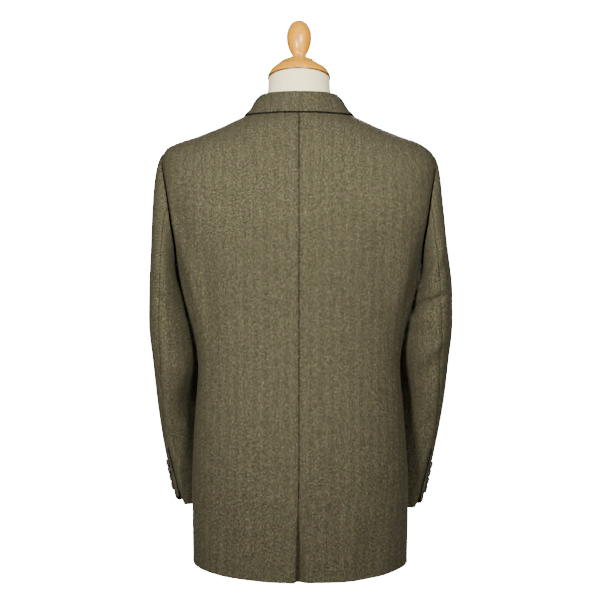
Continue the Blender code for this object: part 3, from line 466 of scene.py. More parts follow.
LEAST_WALL = 0.0001
HERRINGBONE_COLUMN = 0.0086
HERRINGBONE_RISE = 0.0045
YARN = 0.0013
CUT_SHIFT = 14.0 * HERRINGBONE_COLUMN
CUT_PLACES = 23


def fold_height(folds, side, angle, row):
    """Height of the folds at a place: each is a Gaussian ridge or trough along a slanting line."""
    height = 0.0
    for fold_side, fold_angle, fold_row, half_degrees, half_rows, slant, rise in folds.values():
        if fold_side in (side, "B"):
            turn = angle - fold_angle - slant * (row - fold_row)
            across = ((turn + 180.0) % 360.0 - 180.0) / half_degrees
            height = height + rise * np.exp(-across ** 2 - ((row - fold_row) / half_rows) ** 2)
    return height


def arc_length(points, axis):
    """Distance along a grid of points from its first line."""
    steps = np.linalg.norm(np.diff(points, axis=axis), axis=-1)
    start = np.zeros_like(np.take(steps, [0], axis=axis))
    return np.concatenate([start, np.cumsum(steps, axis=axis)], axis=axis)


def spaced(count, length):
    """Places from 0 to 1 along a length in metres, close together at both ends."""
    near = np.array([0.0, 0.0003, 0.0008, 0.0016, 0.0028, 0.0044]) / length
    middle = np.linspace(0.0066 / length, 1.0 - 0.0066 / length, count)
    return np.concatenate([near, middle, 1.0 - near[::-1]])


def between(rows, first, last, count, length):
    """Grids of angles and rows: along each row the angle goes from the first to the last."""
    share = spaced(count, length)
    return first[:, None] + (last - first)[:, None] * share, np.repeat(rows[:, None], share.size, axis=1)


thread, shader = new_material("thread", Roughness=0.60, Sheen_Weight=0.2)
twist = cloudy(thread, place_on(thread), 2600.0)
twist = tinted(thread, twist, (0.35, (0.022, 0.019, 0.010)), (0.70, (0.060, 0.052, 0.030)))
feed(thread, twist, shader.inputs["Base Color"])

# Painted shade: near-black cords shaped like stitches. They lie in the centre back seam, under the lapels' and the
# collar's edges and along the cuff vents' laps, where seams and edges fall into shadow.
painted_shade_cord, shader = new_material("painted_shade_cord", Roughness=0.85, Specular_IOR_Level=0.08)
twist = cloudy(painted_shade_cord, place_on(painted_shade_cord), 1800.0)
twist = tinted(painted_shade_cord, twist, (0.0, (0.004, 0.0035, 0.003)), (1.0, (0.013, 0.011, 0.008)))
feed(painted_shade_cord, twist, shader.inputs["Base Color"])


def sew(name, line, outward, mirrored=False, pitch=0.0054, length=0.0031, radius=0.00034, material=thread):
    """A row of stitches along a line of points: each is a short thread whose ends dip into the cloth. With the
    near-black cord material the dashes are painted shade, not real thread.
    """
    run = np.concatenate([[0.0], np.cumsum(np.linalg.norm(np.diff(line, axis=0), axis=-1))])
    starts = np.arange(0.006, run[-1] - 0.006 - length, pitch)
    where = starts[:, None] + length * np.array([0.0, 0.2, 0.5, 0.8, 1.0])
    centre = np.stack([np.interp(where, run, line[:, axis]) for axis in range(3)], -1)
    up = unit(np.stack([np.interp(where, run, outward[:, axis]) for axis in range(3)], -1))
    centre = centre + up * (radius * np.array([-1.3, 0.1, 0.5, 0.1, -1.3]))[:, None]
    ahead = unit(centre[:, -1:] - centre[:, :1])
    sideways = unit(np.cross(up, ahead))
    turn = full_turn(6)[:, None]
    rings = centre[:, :, None] + radius * (np.cos(turn) * sideways[:, :, None]
                                           + np.sin(turn) * np.cross(ahead, sideways)[:, :, None])
    ends = np.stack([centre[:, 0], centre[:, -1]], 1)
    points = np.concatenate([rings.reshape(len(starts), -1, 3), ends], 1)
    points = points * np.array([-1.0 if mirrored else 1.0, 1.0, 1.0])
    skin = [face[::-1] if mirrored else face for face in ring_faces(5, 6)]
    count = points.shape[1]
    faces = [[index + stitch * count for index in face] for stitch in range(len(starts)) for face in skin]
    item = add_mesh(name, points, faces, material)
    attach(item, "root")


def inset_line(grid, away):
    """The line across a grid, whose columns lead away from an edge, that runs one inset inside the edge."""
    index = np.array([np.interp(STITCH_INSET, row, np.arange(row.size)) for row in away])
    low = np.minimum(index.astype(int), away.shape[1] - 2)
    part = (index - low)[:, None]
    rows = np.arange(len(away))
    return grid[rows, low] * (1.0 - part) + grid[rows, low + 1] * part


def add_cloth(name, face, edges, mirrored=False, turn_grain=0.0, level=0):
    """A closed thin shell. face(out) gives the outer face's grid of points moved out by a distance.

    Its thickness closes in a quarter round at all four edges: from both faces at a free edge, from the
    outer one at a sewn edge, which also draws in over 3 mm and puckers a little. A free edge and
    a hem swell, and a free edge dips along its row of stitches. The texture coordinates are lengths
    along the cloth, up or down from the grid row called level, where the weft lies square, and each
    piece is cut from its own place in the cloth. edges names the kinds of the grid's left, right, low
    and high edge.
    """
    base = face(0.0)
    u, v = arc_length(base, 1), arc_length(base, 0)
    fine_ripple = np.sin(u / 0.0173 + 1.7 * np.sin(v / 0.061)) * np.sin(v / 0.027 + 1.3 * np.sin(u / 0.047))
    broad_ripple = np.sin(u / 0.041 - v / 0.093) * np.sin(v / 0.057 + u / 0.12)
    out = FINE_RIPPLE * fine_ripple + BROAD_RIPPLE * broad_ripple
    pinch_out, pinch_in = np.zeros_like(out), np.zeros_like(out)
    ways = ((u, v), (u[:, -1:] - u, v), (v, u), (v[-1:] - v, u))
    for kind, (away, run) in zip(edges, ways):
        pucker = 1.0 + 0.12 * np.sin(run / 0.0021 + 2.0 * np.sin(run / 0.013))
        if kind == "seam":
            out = out - SEAM_SINK * np.exp(-(away / SEAM_REACH) ** 2)
            out = out - PUCKER_SINK * pucker * np.exp(-(away / PUCKER_REACH) ** 2)
        elif kind in ("free", "hem"):
            out = out + EDGE_SWELL * np.exp(-((away - EDGE_SWELL_INSET) / EDGE_SWELL_REACH) ** 2)
        if kind == "free":
            out = out - STITCH_DIP * pucker * np.exp(-((away - STITCH_INSET) / STITCH_DIP_REACH) ** 2)
        depth_out, depth_in = SEAM_CLOSING if kind == "seam" else EDGE_CLOSING
        beads = 1.0 + 0.18 * np.sin(run * 2.0 * math.pi / 0.0105) * np.sin(run / 0.021)
        inside = np.clip(1.0 - away / (SEAM_ROUND * beads if kind == "seam" else EDGE_ROUND), 0.0, 1.0)
        turned_in = 1.0 - np.sqrt(1.0 - inside ** 2)
        pinch_out = np.maximum(pinch_out, depth_out * turned_in)
        pinch_in = np.maximum(pinch_in, depth_in * turned_in)
    outer = face(out - pinch_out)
    inner = face(out - WALL + np.minimum(pinch_in, WALL - LEAST_WALL - pinch_out))
    for number, (kind, (away, _)) in enumerate(zip(edges, ways)):
        if kind == "free":
            turned_grids = [grid if number < 2 else grid.swapaxes(0, 1) for grid in (outer, inner)]
            away = away if number < 2 else away.T
            if number % 2:
                turned_grids, away = [grid[:, ::-1] for grid in turned_grids], away[:, ::-1]
            line, below = (inset_line(grid, away) for grid in turned_grids)
            sew(name + "_stitches_" + str(number + 1), line, line - below, mirrored)
    rows, columns = u.shape
    index = np.arange(rows * columns).reshape(rows, columns)
    cells = np.stack([index[:-1, :-1], index[:-1, 1:], index[1:, 1:], index[1:, :-1]], -1).reshape(-1, 4)
    rim = np.concatenate([index[0, :-1], index[:-1, -1], index[-1, :0:-1], index[:0:-1, 0]])
    after = np.roll(rim, -1)
    count = rows * columns
    faces = np.concatenate([cells, cells[:, ::-1] + count,
                            np.stack([after, rim, rim + count, after + count], -1)])
    points = np.concatenate([outer.reshape(-1, 3), inner.reshape(-1, 3)])
    if mirrored:
        points = points * np.array([-1.0, 1.0, 1.0])
    corner = points[faces]
    volume = np.einsum("ij,ij->", corner[:, 0], np.cross(corner[:, 1], corner[:, 2]))
    volume += np.einsum("ij,ij->", corner[:, 0], np.cross(corner[:, 2], corner[:, 3]))
    if volume < 0.0:
        faces = faces[:, ::-1]
    cloth = add_mesh(name, points, faces.tolist(), tweed)
    v = v - v[level]
    across = u * math.cos(turn_grain) - v * math.sin(turn_grain)
    across = across + CUT_SHIFT * (len(bpy.data.meshes) % CUT_PLACES)
    upward = u * math.sin(turn_grain) + v * math.cos(turn_grain)
    uv = np.tile(np.stack([across.ravel(), upward.ravel()], -1), (2, 1))
    layer = cloth.data.uv_layers.new(name="cloth_lengths")
    layer.data.foreach_set("uv", uv[faces.ravel()].ravel().astype(np.float32))
    return cloth


tweed, shader = new_material("tweed", Roughness=0.95, Specular_IOR_Level=0.08, Sheen_Weight=0.03,
                             Sheen_Roughness=0.45, Sheen_Tint=(0.70, 0.62, 0.42, 1.0))


def wool(operation, *values):
    """One operation on the tweed's numbers or sockets."""
    return maths(tweed, operation, *values)


def noise(across, upward, scale_across, scale_up, detail, seed):
    """Cloudy noise with its own scale along each thread direction."""
    a, b = wool("MULTIPLY", across, scale_across), wool("MULTIPLY", upward, scale_up)
    place = wire(tweed, "CombineXYZ", {"X": a, "Y": b, "Z": seed}).outputs["Vector"]
    return cloudy(tweed, place, detail=detail)


split = wire(tweed, "SeparateXYZ", {"Vector": wire(tweed, "TexCoord", {}).outputs["UV"]})
u, v = split.outputs["X"], split.outputs["Y"]
u_bent = wool("MULTIPLY_ADD", noise(u, v, 60.0, 45.0, 2.0, 3.0), 0.0022, u)
v_bent = wool("MULTIPLY_ADD", noise(u, v, 160.0, 90.0, 2.0, 8.0), 0.0034, v)
column = wool("DIVIDE", u_bent, HERRINGBONE_COLUMN)
zigzag = wool("PINGPONG", column, 1.0)
step = wool("FLOOR", wool("FLOORED_MODULO", column, 2.0))
rise = wool("MULTIPLY_ADD", zigzag, 1.9, wool("DIVIDE", v_bent, HERRINGBONE_RISE))
rise = wool("MULTIPLY_ADD", step, 0.5, rise)
twill = wool("MULTIPLY_ADD", wool("SINE", wool("MULTIPLY", rise, 2.0 * math.pi)), 0.5, 0.5)
yarn = wool("SINE", wool("MULTIPLY", u_bent, 2.0 * math.pi / YARN))
yarn = wool("MULTIPLY", yarn, wool("SINE", wool("MULTIPLY", v_bent, 2.0 * math.pi / YARN)))
streak = noise(u, v, 480.0, 20.0, 3.0, 1.0)
thin_streak = noise(u, v, 900.0, 60.0, 2.0, 6.0)
mottle = noise(u, v, 60.0, 30.0, 3.0, 5.0)
fibre = noise(u, v, 1300.0, 1000.0, 2.0, 2.0)
nub = noise(u, v, 370.0, 330.0, 2.0, 9.0)
shade = wool("MULTIPLY", twill, wool("MULTIPLY_ADD", nub, 0.56, 0.02))
for part, weight in ((streak, 0.16), (thin_streak, 0.42), (mottle, 0.12), (nub, 1.00), (fibre, 0.70),
                     (yarn, 0.05), (step, 0.035)):
    shade = wool("MULTIPLY_ADD", part, weight, shade)
shade = wool("SUBTRACT", shade, 0.89)
olive = tinted(tweed, shade, (0.12, (0.0150, 0.0132, 0.0072)), (0.38, (0.0430, 0.0385, 0.0228)),
               (0.62, (0.0775, 0.0705, 0.0435)), (0.90, (0.150, 0.138, 0.092)))
hue = tinted(tweed, noise(u, v, 330.0, 60.0, 2.0, 14.0),
             (0.36, (0.93, 1.03, 0.94)), (0.64, (1.06, 0.98, 1.00)))
cloth_colour = wire(tweed, "MixRGB", {"Fac": 1.0, "Color1": olive, "Color2": hue}, blend_type="MULTIPLY")
cloth_colour = cloth_colour.outputs[0]
FLECKS = (
    # seed, scale across, scale up, threshold, colour
    (11.0, 420.0, 230.0, 0.71, (0.20, 0.090, 0.036, 1.0)),
    (17.0, 380.0, 260.0, 0.70, (0.075, 0.110, 0.035, 1.0)),
    (23.0, 460.0, 200.0, 0.69, (0.33, 0.260, 0.080, 1.0)),
    (29.0, 400.0, 240.0, 0.71, (0.030, 0.032, 0.028, 1.0)),
)
FLECK_BLUR = 0.05
FLECK_STRENGTH = 0.45
for seed, scale_u, scale_v, edge, colour in FLECKS:
    spot = wire(tweed, "MapRange", {"Value": noise(u, v, scale_u, scale_v, 1.0, seed),
                                    "From Min": edge, "From Max": edge + FLECK_BLUR}).outputs["Result"]
    spot = wool("MULTIPLY", spot, FLECK_STRENGTH)
    cloth_colour = wire(tweed, "MixRGB", {"Fac": spot, "Color1": cloth_colour, "Color2": colour}).outputs[0]
feed(tweed, cloth_colour, shader.inputs["Base Color"])
height = wool("MULTIPLY_ADD", yarn, 0.25, wool("MULTIPLY_ADD", fibre, 0.8, wool("MULTIPLY", twill, 0.9)))
emboss(tweed, shader, height, 0.28, 0.0006)


def on_body(angles, rows, offset, side):
    """The outer face of a body piece as a function of how far it is moved out."""
    drop = HEM_DROP[side] * np.exp(-((angles - HEM_DROP_ANGLE) / HEM_DROP_DEGREES) ** 2)
    drop = drop * smooth(1.0 - rows)
    under_edge = np.exp(-((rows - np.interp(angles, *COLLAR_EDGE)) / COLLAR_PRESS_ROWS) ** 2)
    offset = offset - COLLAR_PRESS * under_edge * ramp(angles, (15.0, 40.0))
    offset = offset + fold_height(BODY_FOLDS, side, angles, rows)

    def face(out):
        return off_torso(angles, rows, offset + out) - np.array([0.0, 0.0, 1.0]) * drop[..., None]
    return face


def front_angle_at(x, row):
    """The angle on the front of the torso where the surface is x from the centre plane."""
    _, width, square, _, _, _, _ = along(TORSO, row)
    across = np.maximum(width ** square - np.abs(x) ** square, 0.0) ** (1.0 / square)
    return -np.degrees(np.arctan2(across, x))


def armhole_angle(row, widest):
    """The armhole's edge: half an ellipse, widest at its middle row."""
    part = np.clip((row - ARMHOLE_ROW) / ARMHOLE_HALF_ROWS, -1.0, 1.0)
    return widest * np.sqrt(1.0 - part * part)


def body_rows(low, high, count):
    """Rows of a body piece, close together at its ends, round the armhole and under the collar's edge."""
    rows = low + (high - low) * spaced(count, 0.055 * (high - low))
    arc = ARMHOLE_ROW - ARMHOLE_HALF_ROWS * np.cos(np.linspace(0.0, math.pi, 41))
    under_collar = np.linspace(13.30, 13.80, 26)
    rows = np.concatenate([rows, arc[(arc > low) & (arc < high)], under_collar[under_collar < high]])
    rows = np.unique(np.round(rows, 6))
    return rows[np.concatenate([[True], np.diff(rows) > 0.002])]


for side in ("L", "R"):
    rows = body_rows(0.0, NECK_ROW, 180)
    centre = np.full_like(rows, 90.0 - SEAM_DEGREES)
    if side == "L":
        opened = VENT_OPEN_X * np.clip((VENT_ROW - rows) / VENT_ROW, 0.0, 1.0)
        centre = np.where(rows < VENT_ROW, -front_angle_at(opened, rows) - SEAM_DEGREES, centre)
    else:
        under_row = VENT_ROW - VENT_PRESS_ROWS
        centre = centre + VENT_UNDERLAP_DEGREES * ramp(rows, (under_row + VENT_UNDERLAP_ROWS, under_row))
    outer_edge = np.where(rows <= UNDERARM_ROW, BACK_SIDE_SEAM, armhole_angle(rows, ARMHOLE_BACK_DEGREES))
    angles, grid_rows = between(rows, centre, outer_edge + SEAM_DEGREES, 78, 0.24)
    below = VENT_ROW - grid_rows
    if side == "L":
        offset = PLY * smooth(below / VENT_PRESS_ROWS) * ramp(angles, VENT_LIFT_ANGLES)
        offset = offset + VENT_EDGE_LIFT * smooth(below / VENT_ROW) * ramp(angles, VENT_EDGE_ANGLES)
    else:
        offset = -VENT_SINK * smooth(below / VENT_ROW) * ramp(angles, VENT_SINK_ANGLES)
    back = add_cloth("back_" + side + "_cloth", on_body(angles, grid_rows, offset, side),
                     ("seam", "seam", "hem", "seam"), side == "R")
    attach(back, "root")
    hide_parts("back_" + side)

# Painted shade: a dashed near-black cord laid in the centre back seam, for the seam's shadow line.
seam_rows = np.linspace(VENT_ROW + 0.02, 13.62, 900)
seam_line = off_torso(90.0, seam_rows, -CENTRE_SHADE_SINK)
sew("centre_seam_painted_shade", seam_line, np.tile((0.0, 1.0, 0.0), (seam_rows.size, 1)),
    pitch=0.0052, length=0.0043, radius=0.00062, material=painted_shade_cord)

# ---------------------------------------------------------------- side pieces
# A narrow piece of the same tweed under each arm, from the hem to the armhole. It is sewn to the back
# along one edge and to the front along the other.
FRONT_SIDE_SEAM = (-38.0, -20.0)      # its angles at the hem and seven rows up
SIDE_TOP_ROW = ARMHOLE_ROW - ARMHOLE_HALF_ROWS * math.cos(math.radians(36.0))


def front_side_seam(row):
    """Angle of the seam to the front, which runs straight from row to row."""
    return FRONT_SIDE_SEAM[0] + (FRONT_SIDE_SEAM[1] - FRONT_SIDE_SEAM[0]) * row / 7.0


for side in ("L", "R"):
    rows = body_rows(0.0, SIDE_TOP_ROW, 110)
    rear = np.minimum(BACK_SIDE_SEAM, -armhole_angle(rows, ARMHOLE_FRONT_DEGREES)) - SEAM_DEGREES
    angles, grid_rows = between(rows, rear, front_side_seam(rows) + SEAM_DEGREES, 24, 0.09)
    side_piece = add_cloth("side_" + side + "_cloth", on_body(angles, grid_rows, 0.0, side),
                           ("seam", "seam", "hem", "seam"), side == "R")
    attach(side_piece, "root")
    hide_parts("side_" + side)

# ---------------------------------------------------------------- fronts
# Each front runs from the side seam to the buttoned edge, which curves away into the hem, and up the
# roll line to the shoulder seam. The left one laps over the right one, which sinks under it.
WRAP = 0.018
CUTAWAY_ROW = 2.9
CUTAWAY_SLOPE = 0.036
CUTAWAY_ROUND = 0.088
BREAK_ROW = 5.6
ROLL_TOP_X = 0.052
HEM_ROWS = [0.0, 0.003, 0.010, 0.022, 0.045, 0.075]


def roll_x(row):
    """Distance of the roll line from the centre plane."""
    return -WRAP + (ROLL_TOP_X + WRAP) * (row - BREAK_ROW) / (NECK_ROW - BREAK_ROW)


def front_offset(angle, side):
    """How far a front lies off the torso: the right one sinks by two plies under the left one's lap."""
    return (-2 * PLY if side == "R" else 0.0) * ramp(angle, FRONT_LAP_ANGLES)


for side in ("L", "R"):
    rows = np.concatenate([HEM_ROWS, body_rows(0.1, NECK_ROW, 180)[1:]])
    low = np.clip(1.0 - rows / CUTAWAY_ROW, 0.0, 1.0)
    edge_x = -WRAP + CUTAWAY_SLOPE * low ** 1.5 + CUTAWAY_ROUND * (1.0 - np.sqrt(1.0 - low * low))
    edge = front_angle_at(np.where(rows > BREAK_ROW, roll_x(rows), edge_x), rows)
    above = -armhole_angle(rows, ARMHOLE_FRONT_DEGREES)
    outer_edge = np.where(rows <= SIDE_TOP_ROW, front_side_seam(rows), above) - SEAM_DEGREES
    angles, grid_rows = between(rows, edge, outer_edge, 66, 0.20)
    body_face = on_body(angles, grid_rows, front_offset(angles, side), side)
    front = add_cloth("front_" + side + "_cloth", body_face, ("free", "seam", "hem", "seam"), side == "R")
    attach(front, "root")
    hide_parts("front_" + side)

# ---------------------------------------------------------------- lapels
# The facing turned back along the roll line: it wraps round the front's edge in a soft roll, lies on the
# front and runs out to a point. Its top edge is the gorge seam with the collar.
GORGE_ROW = 11.2
LAPEL_START_ROW = BREAK_ROW + 0.12
LAPEL_POINT_ROW = 9.6
LAPEL_WIDTH = 0.090
LAPEL_BULGE = 0.0030
LAPEL_BULGE_ROWS = (7.4, 9.4)
LAPEL_SHADE_SINK = 0.0010
ROLL_START = 160.0                    # the roll begins this far round, inside the front's edge
ROLL_STEPS = 12
ROLL_RADIUS = (PLY + WALL) / 2
FOLD_MIDDLE = (PLY - WALL) / 2
# Size and material of the near-black cords of painted shade under the lapel and collar edges.
EDGE_SHADE_CORD = {"pitch": 0.0042, "length": 0.0041, "radius": 0.00070, "material": painted_shade_cord}

for side in ("L", "R"):
    rise = spaced(130, 0.27)[:, None]
    reach = np.concatenate([np.zeros(ROLL_STEPS - 1), spaced(38, 0.085)])[None, :]
    roll = np.zeros_like(reach)
    roll[0, :ROLL_STEPS] = np.radians(np.linspace(ROLL_START, 0.0, ROLL_STEPS))
    top = GORGE_ROW + (LAPEL_POINT_ROW - GORGE_ROW) * reach
    rows = LAPEL_START_ROW + (top - LAPEL_START_ROW) * rise
    width = LAPEL_WIDTH * (0.06 + 0.94 * np.sin(rise * np.pi / 2) ** 0.85)
    bulge = LAPEL_BULGE * ramp(rows, LAPEL_BULGE_ROWS) * np.sin(np.pi * np.minimum(reach * 1.6, 1.0) ** 0.6)

    def lapel_face(out, side=side, rows=rows, run=width * reach, bulge=bulge, turn=roll):
        """Round the roll the radius turns from inside the front's edge; beyond it the facing lies flat."""
        radius = ROLL_RADIUS + out
        angles = front_angle_at(roll_x(rows) + run - radius * np.sin(turn), rows)
        height = FOLD_MIDDLE + radius * np.cos(turn) + bulge
        height = height + front_offset(angles, side) + fold_height(BODY_FOLDS, side, angles, rows)
        return off_torso(angles, rows, height)

    lapel = add_cloth("lapel_" + side + "_cloth", lapel_face,
                      ("plain", "free", "plain", "seam"), side == "R")
    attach(lapel, "root")
    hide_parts("lapel_" + side)

    # Painted shade: a near-black cord just under the lapel, along the gorge and down its outer edge, for the shadow
    # beneath the edge.
    under = lapel_face(-LAPEL_SHADE_SINK)
    line, outward = (np.concatenate([grid[-1, ROLL_STEPS - 1:-1], grid[::-1, -1]])
                     for grid in (under, lapel_face(0.0) - under))
    sew("lapel_edge_painted_shade_" + side, line, outward, side == "R", **EDGE_SHADE_CORD)

# ---------------------------------------------------------------- pocket flaps
# Slanting flaps of tweed, higher towards the front and rounded at their lower corners. Each is sewn in
# along its top edge and lies on the front.
FLAP_ANGLE = -77.0
FLAP_DEGREES = 35.0
FLAP_TOP_ROWS = (3.12, 2.80)
FLAP_DROP_ROWS = 0.62
FLAP_CORNER = 0.10

for side in ("L", "R"):
    drop = spaced(20, 0.052)[:, None]
    width = spaced(52, 0.16)[None, :]
    rows = FLAP_TOP_ROWS[0] + (FLAP_TOP_ROWS[1] - FLAP_TOP_ROWS[0]) * width
    rows = rows - FLAP_DROP_ROWS * drop * (1.0 - FLAP_CORNER * (2.0 * width - 1.0) ** 6)
    angles = FLAP_ANGLE + FLAP_DEGREES * width + 0.0 * drop
    flap_face = on_body(angles, rows, front_offset(angles, side) + PLY, side)
    flap = add_cloth("pocket_flap_" + side + "_cloth", flap_face,
                     ("free", "free", "seam", "free"), side == "R")
    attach(flap, "root")
    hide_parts("pocket_flap_" + side)

# ---------------------------------------------------------------- sleeves
# Two pieces to a sleeve, set into the armhole: the top sleeve and the narrower under sleeve. Their back
# seam stays open at the cuff as a vent, where the top sleeve laps over the under sleeve.
SLEEVE = np.array([
    # z, centre x, half x, centre y, half y, slant
    (0.476, 0.2284, 0.0291, -0.001, 0.084, 0.04),
    (0.415, 0.2205, 0.0360, -0.007, 0.081, 0.12),
    (0.358, 0.2135, 0.0380, -0.018, 0.077, 0.14),
    (0.280, 0.2115, 0.0325, -0.040, 0.070, 0.18),
    (0.194, 0.1984, 0.0310, -0.069, 0.061, 0.32),
    (0.096, 0.1815, 0.0280, -0.093, 0.055, 0.40),
])
SLEEVE_FOLDS = {
    # side, angle, row, half width in degrees, half length in rows, degrees per row, height
    "upper crinkle right": ("R", 108.0, 0.74, 22.0, 0.15, 250.0, 0.0066),
    "notch right":         ("R", 112.0, 1.20, 24.0, 0.17, 220.0, -0.0072),
    "lower crinkle right": ("R", 138.0, 1.66, 42.0, 0.34, 0.0, 0.0050),
    "elbow ridge right":   ("R", 94.0, 2.64, 14.0, 0.36, 50.0, 0.0048),
    "elbow trough right":  ("R", 104.0, 3.25, 24.0, 0.34, 40.0, -0.0048),
    "elbow ridge left":    ("L", 140.0, 3.20, 40.0, 0.36, 0.0, 0.0042),
    "elbow trough left":   ("L", 140.0, 4.05, 40.0, 0.34, 0.0, -0.0042),
    "arm trough left":     ("L", 112.0, 1.30, 30.0, 0.30, 120.0, -0.0040),
    "inner hollow left":   ("L", 160.0, 3.70, 22.0, 0.85, 0.0, -0.0066),
    "inner hollow right":  ("R", 160.0, 3.60, 22.0, 0.80, 0.0, -0.0062),
    "inner notch right":   ("R", 162.0, 1.55, 20.0, 0.24, 0.0, -0.0062),
    "inner bend high":     ("B", -98.0, 2.25, 46.0, 0.20, 0.0, -0.0028),
    "inner bend middle":   ("B", -90.0, 2.85, 52.0, 0.22, 0.0, -0.0036),
    "inner bend low":      ("B", -104.0, 3.55, 44.0, 0.24, 0.0, -0.0026),
}
SLEEVE_FOLDS_START = 0.30
SLEEVE_HEAD_OUT = {"L": 0.076, "R": 0.056}    # how strongly the head stands out at the shoulder
SLEEVE_HEAD_FLAT = {"L": 0.0030, "R": 0.0060}     # how far its middle is pressed in again
SLEEVE_UNDERARM_OUT = 0.012
SLEEVE_BACKWARD = 0.15                # how far the head also leans back, as a share of its way out
SLEEVE_DROP = 0.060
SLEEVE_FLARE = {"L": -0.002, "R": 0.004}
SLEEVE_FLARE_ROWS = 2.5
SLEEVE_LEVEL_ROW = 2.0
HINDARM_SEAM = (90.0, 86.0, 78.0, 70.0, 65.0, 62.0, 60.0)     # its angle at each row
FOREARM_SEAM = -108.0
SLEEVE_SEAM_LAP = 0.03
CUFF_ROW = 6.0
CUFF_RISE = {"L": 0.003, "R": -0.003}
CUFF_RISE_ROWS = (4.0, 6.0)
CUFF_VENT_ROW = 4.8
CUFF_LAP_DEGREES = {"L": 22.0, "R": 17.0}
CUFF_LAP_POWER = 0.6
CUFF_CUT_ROWS = (5.2, 6.0)            # rows over which the cuff's corners are cut away
CUFF_CORNER = 0.050                   # rounding of the lap's corner, in rows
CUFF_CORNER_DEGREES = 7.0
CUFF_SLOPE = 0.150                    # rise of the cuff's edge towards the lap, in rows
CUFF_SLOPE_ANGLES = (8.0, 64.0)
CUFF_LIFT = 0.0028
CUFF_LIFT_DEGREES = 20.0
CUFF_LIFT_ROWS = (5.2, 5.9)
CUFF_UNDERLAP_DEGREES = 16.0
CUFF_UNDERLAP_ROWS = (0.24, 0.26)     # it widens between these rows below the vent's top
CUFF_SINK_ROWS = 0.25                 # it sinks under the lap over these rows
CUFF_SINK_ANGLES = (2.0, 18.0)        # and rises again between these, past the lap's edge
CUFF_UNDERLAP_CUT = 0.26
CUFF_UNDERLAP_CUT_ANGLES = (1.0, 10.0)
# The cuff vent's cord of painted shade: its size, its rows, how far past the lap's edge it lies and how deep it
# sinks.
VENT_SHADE_CORD = {**EDGE_SHADE_CORD, "radius": 0.0009}
VENT_SHADE_ROWS = (CUFF_VENT_ROW + 0.04, 5.86)
VENT_SHADE_DEGREES = 1.0
VENT_SHADE_SINK = 0.0009


def sleeve_section(angle, row, side):
    """Sleeve below the armhole; row 1 is the bicep, angle 0 the outer side and 90 the back."""
    z, centre_x, half_x, centre_y, half_y, slant = along(SLEEVE, row - 1.0)
    cos, sin = np.cos(np.radians(angle)), np.sin(np.radians(angle))
    flare = SLEEVE_FLARE[side] * smooth((CUFF_ROW - row) / SLEEVE_FLARE_ROWS)
    x = centre_x + flare * (0.5 + 0.5 * cos) + half_x * cos + slant * half_y * sin
    rise = CUFF_RISE[side] * ramp(row, CUFF_RISE_ROWS)
    return np.stack([x, centre_y + half_y * sin, z + rise + 0.0 * cos], axis=-1)


def sleeve_point(angle, row, side):
    """A cubic curve from the armhole's loop on the body down to the bicep, then the sections."""
    cos, sin = np.cos(np.radians(angle)), np.sin(np.radians(angle))
    round_body = np.where(sin >= 0, ARMHOLE_BACK_DEGREES, ARMHOLE_FRONT_DEGREES) * sin
    body_row = ARMHOLE_ROW + ARMHOLE_HALF_ROWS * cos
    start = off_torso(round_body, body_row, 0.0004 + fold_height(BODY_FOLDS, side, round_body, body_row))
    start = start + np.array([0.0003, 0.0, 0.0])
    part = np.clip(row, 0.0, 1.0)[..., None]
    end = sleeve_section(angle, np.ones_like(row), side)
    rate = (sleeve_section(angle, np.ones_like(row) * 1.02, side) - end) / 0.02
    top = (1.0 + cos)[..., None] / 2.0
    out = SLEEVE_UNDERARM_OUT + (SLEEVE_HEAD_OUT[side] - SLEEVE_UNDERARM_OUT) * top ** 1.5
    leave = np.concatenate([out, SLEEVE_BACKWARD * out * sin[..., None], -SLEEVE_DROP * (0.6 + 0.4 * top)],
                           axis=-1)
    head = start * (1 + 2 * part) * (1 - part) ** 2 + leave * part * (1 - part) ** 2
    head = head + end * part ** 2 * (3 - 2 * part) + rate * (0.8 + 2.2 * top) * part ** 2 * (part - 1)
    flat = SLEEVE_HEAD_FLAT[side] * top * (4.0 * part * (1 - part)) ** 2
    head = head - flat * np.array([1.0, 0.0, 0.0])
    return np.where(row[..., None] < 1.0, head, sleeve_section(angle, np.maximum(row, 1.0), side))


def off_sleeve(angle, row, out, side):
    """A sleeve point moved out along the surface's normal, found by central differences."""
    angle, row = np.broadcast_arrays(np.asarray(angle, float), np.asarray(row, float))
    tangent = sleeve_point(angle + 0.1, row, side) - sleeve_point(angle - 0.1, row, side)
    fall = sleeve_point(angle, row + 0.004, side) - sleeve_point(angle, np.maximum(row - 0.004, 0.0), side)
    return sleeve_point(angle, row, side) + unit(np.cross(fall, tangent)) * np.asarray(out)[..., None]


def hindarm_seam(row):
    """Angle of the sleeve's back seam, straight between the whole rows."""
    return np.interp(row, np.arange(len(HINDARM_SEAM)), HINDARM_SEAM)


def lap_edge(row, side):
    """Angle of the top sleeve's back edge, which swings out over the cuff's vent."""
    down = np.clip((row - CUFF_VENT_ROW) / (CUFF_ROW - CUFF_VENT_ROW), 0.0, 1.0)
    return hindarm_seam(row) + CUFF_LAP_DEGREES[side] * down ** CUFF_LAP_POWER


def on_sleeve(angles, rows, offset, side):
    """The outer face of a sleeve piece as a function of how far it is moved out."""
    folds = fold_height(SLEEVE_FOLDS, side, angles, rows) * smooth(rows / SLEEVE_FOLDS_START)

    def face(out):
        return off_sleeve(angles, rows, offset + folds + out, side)
    return face


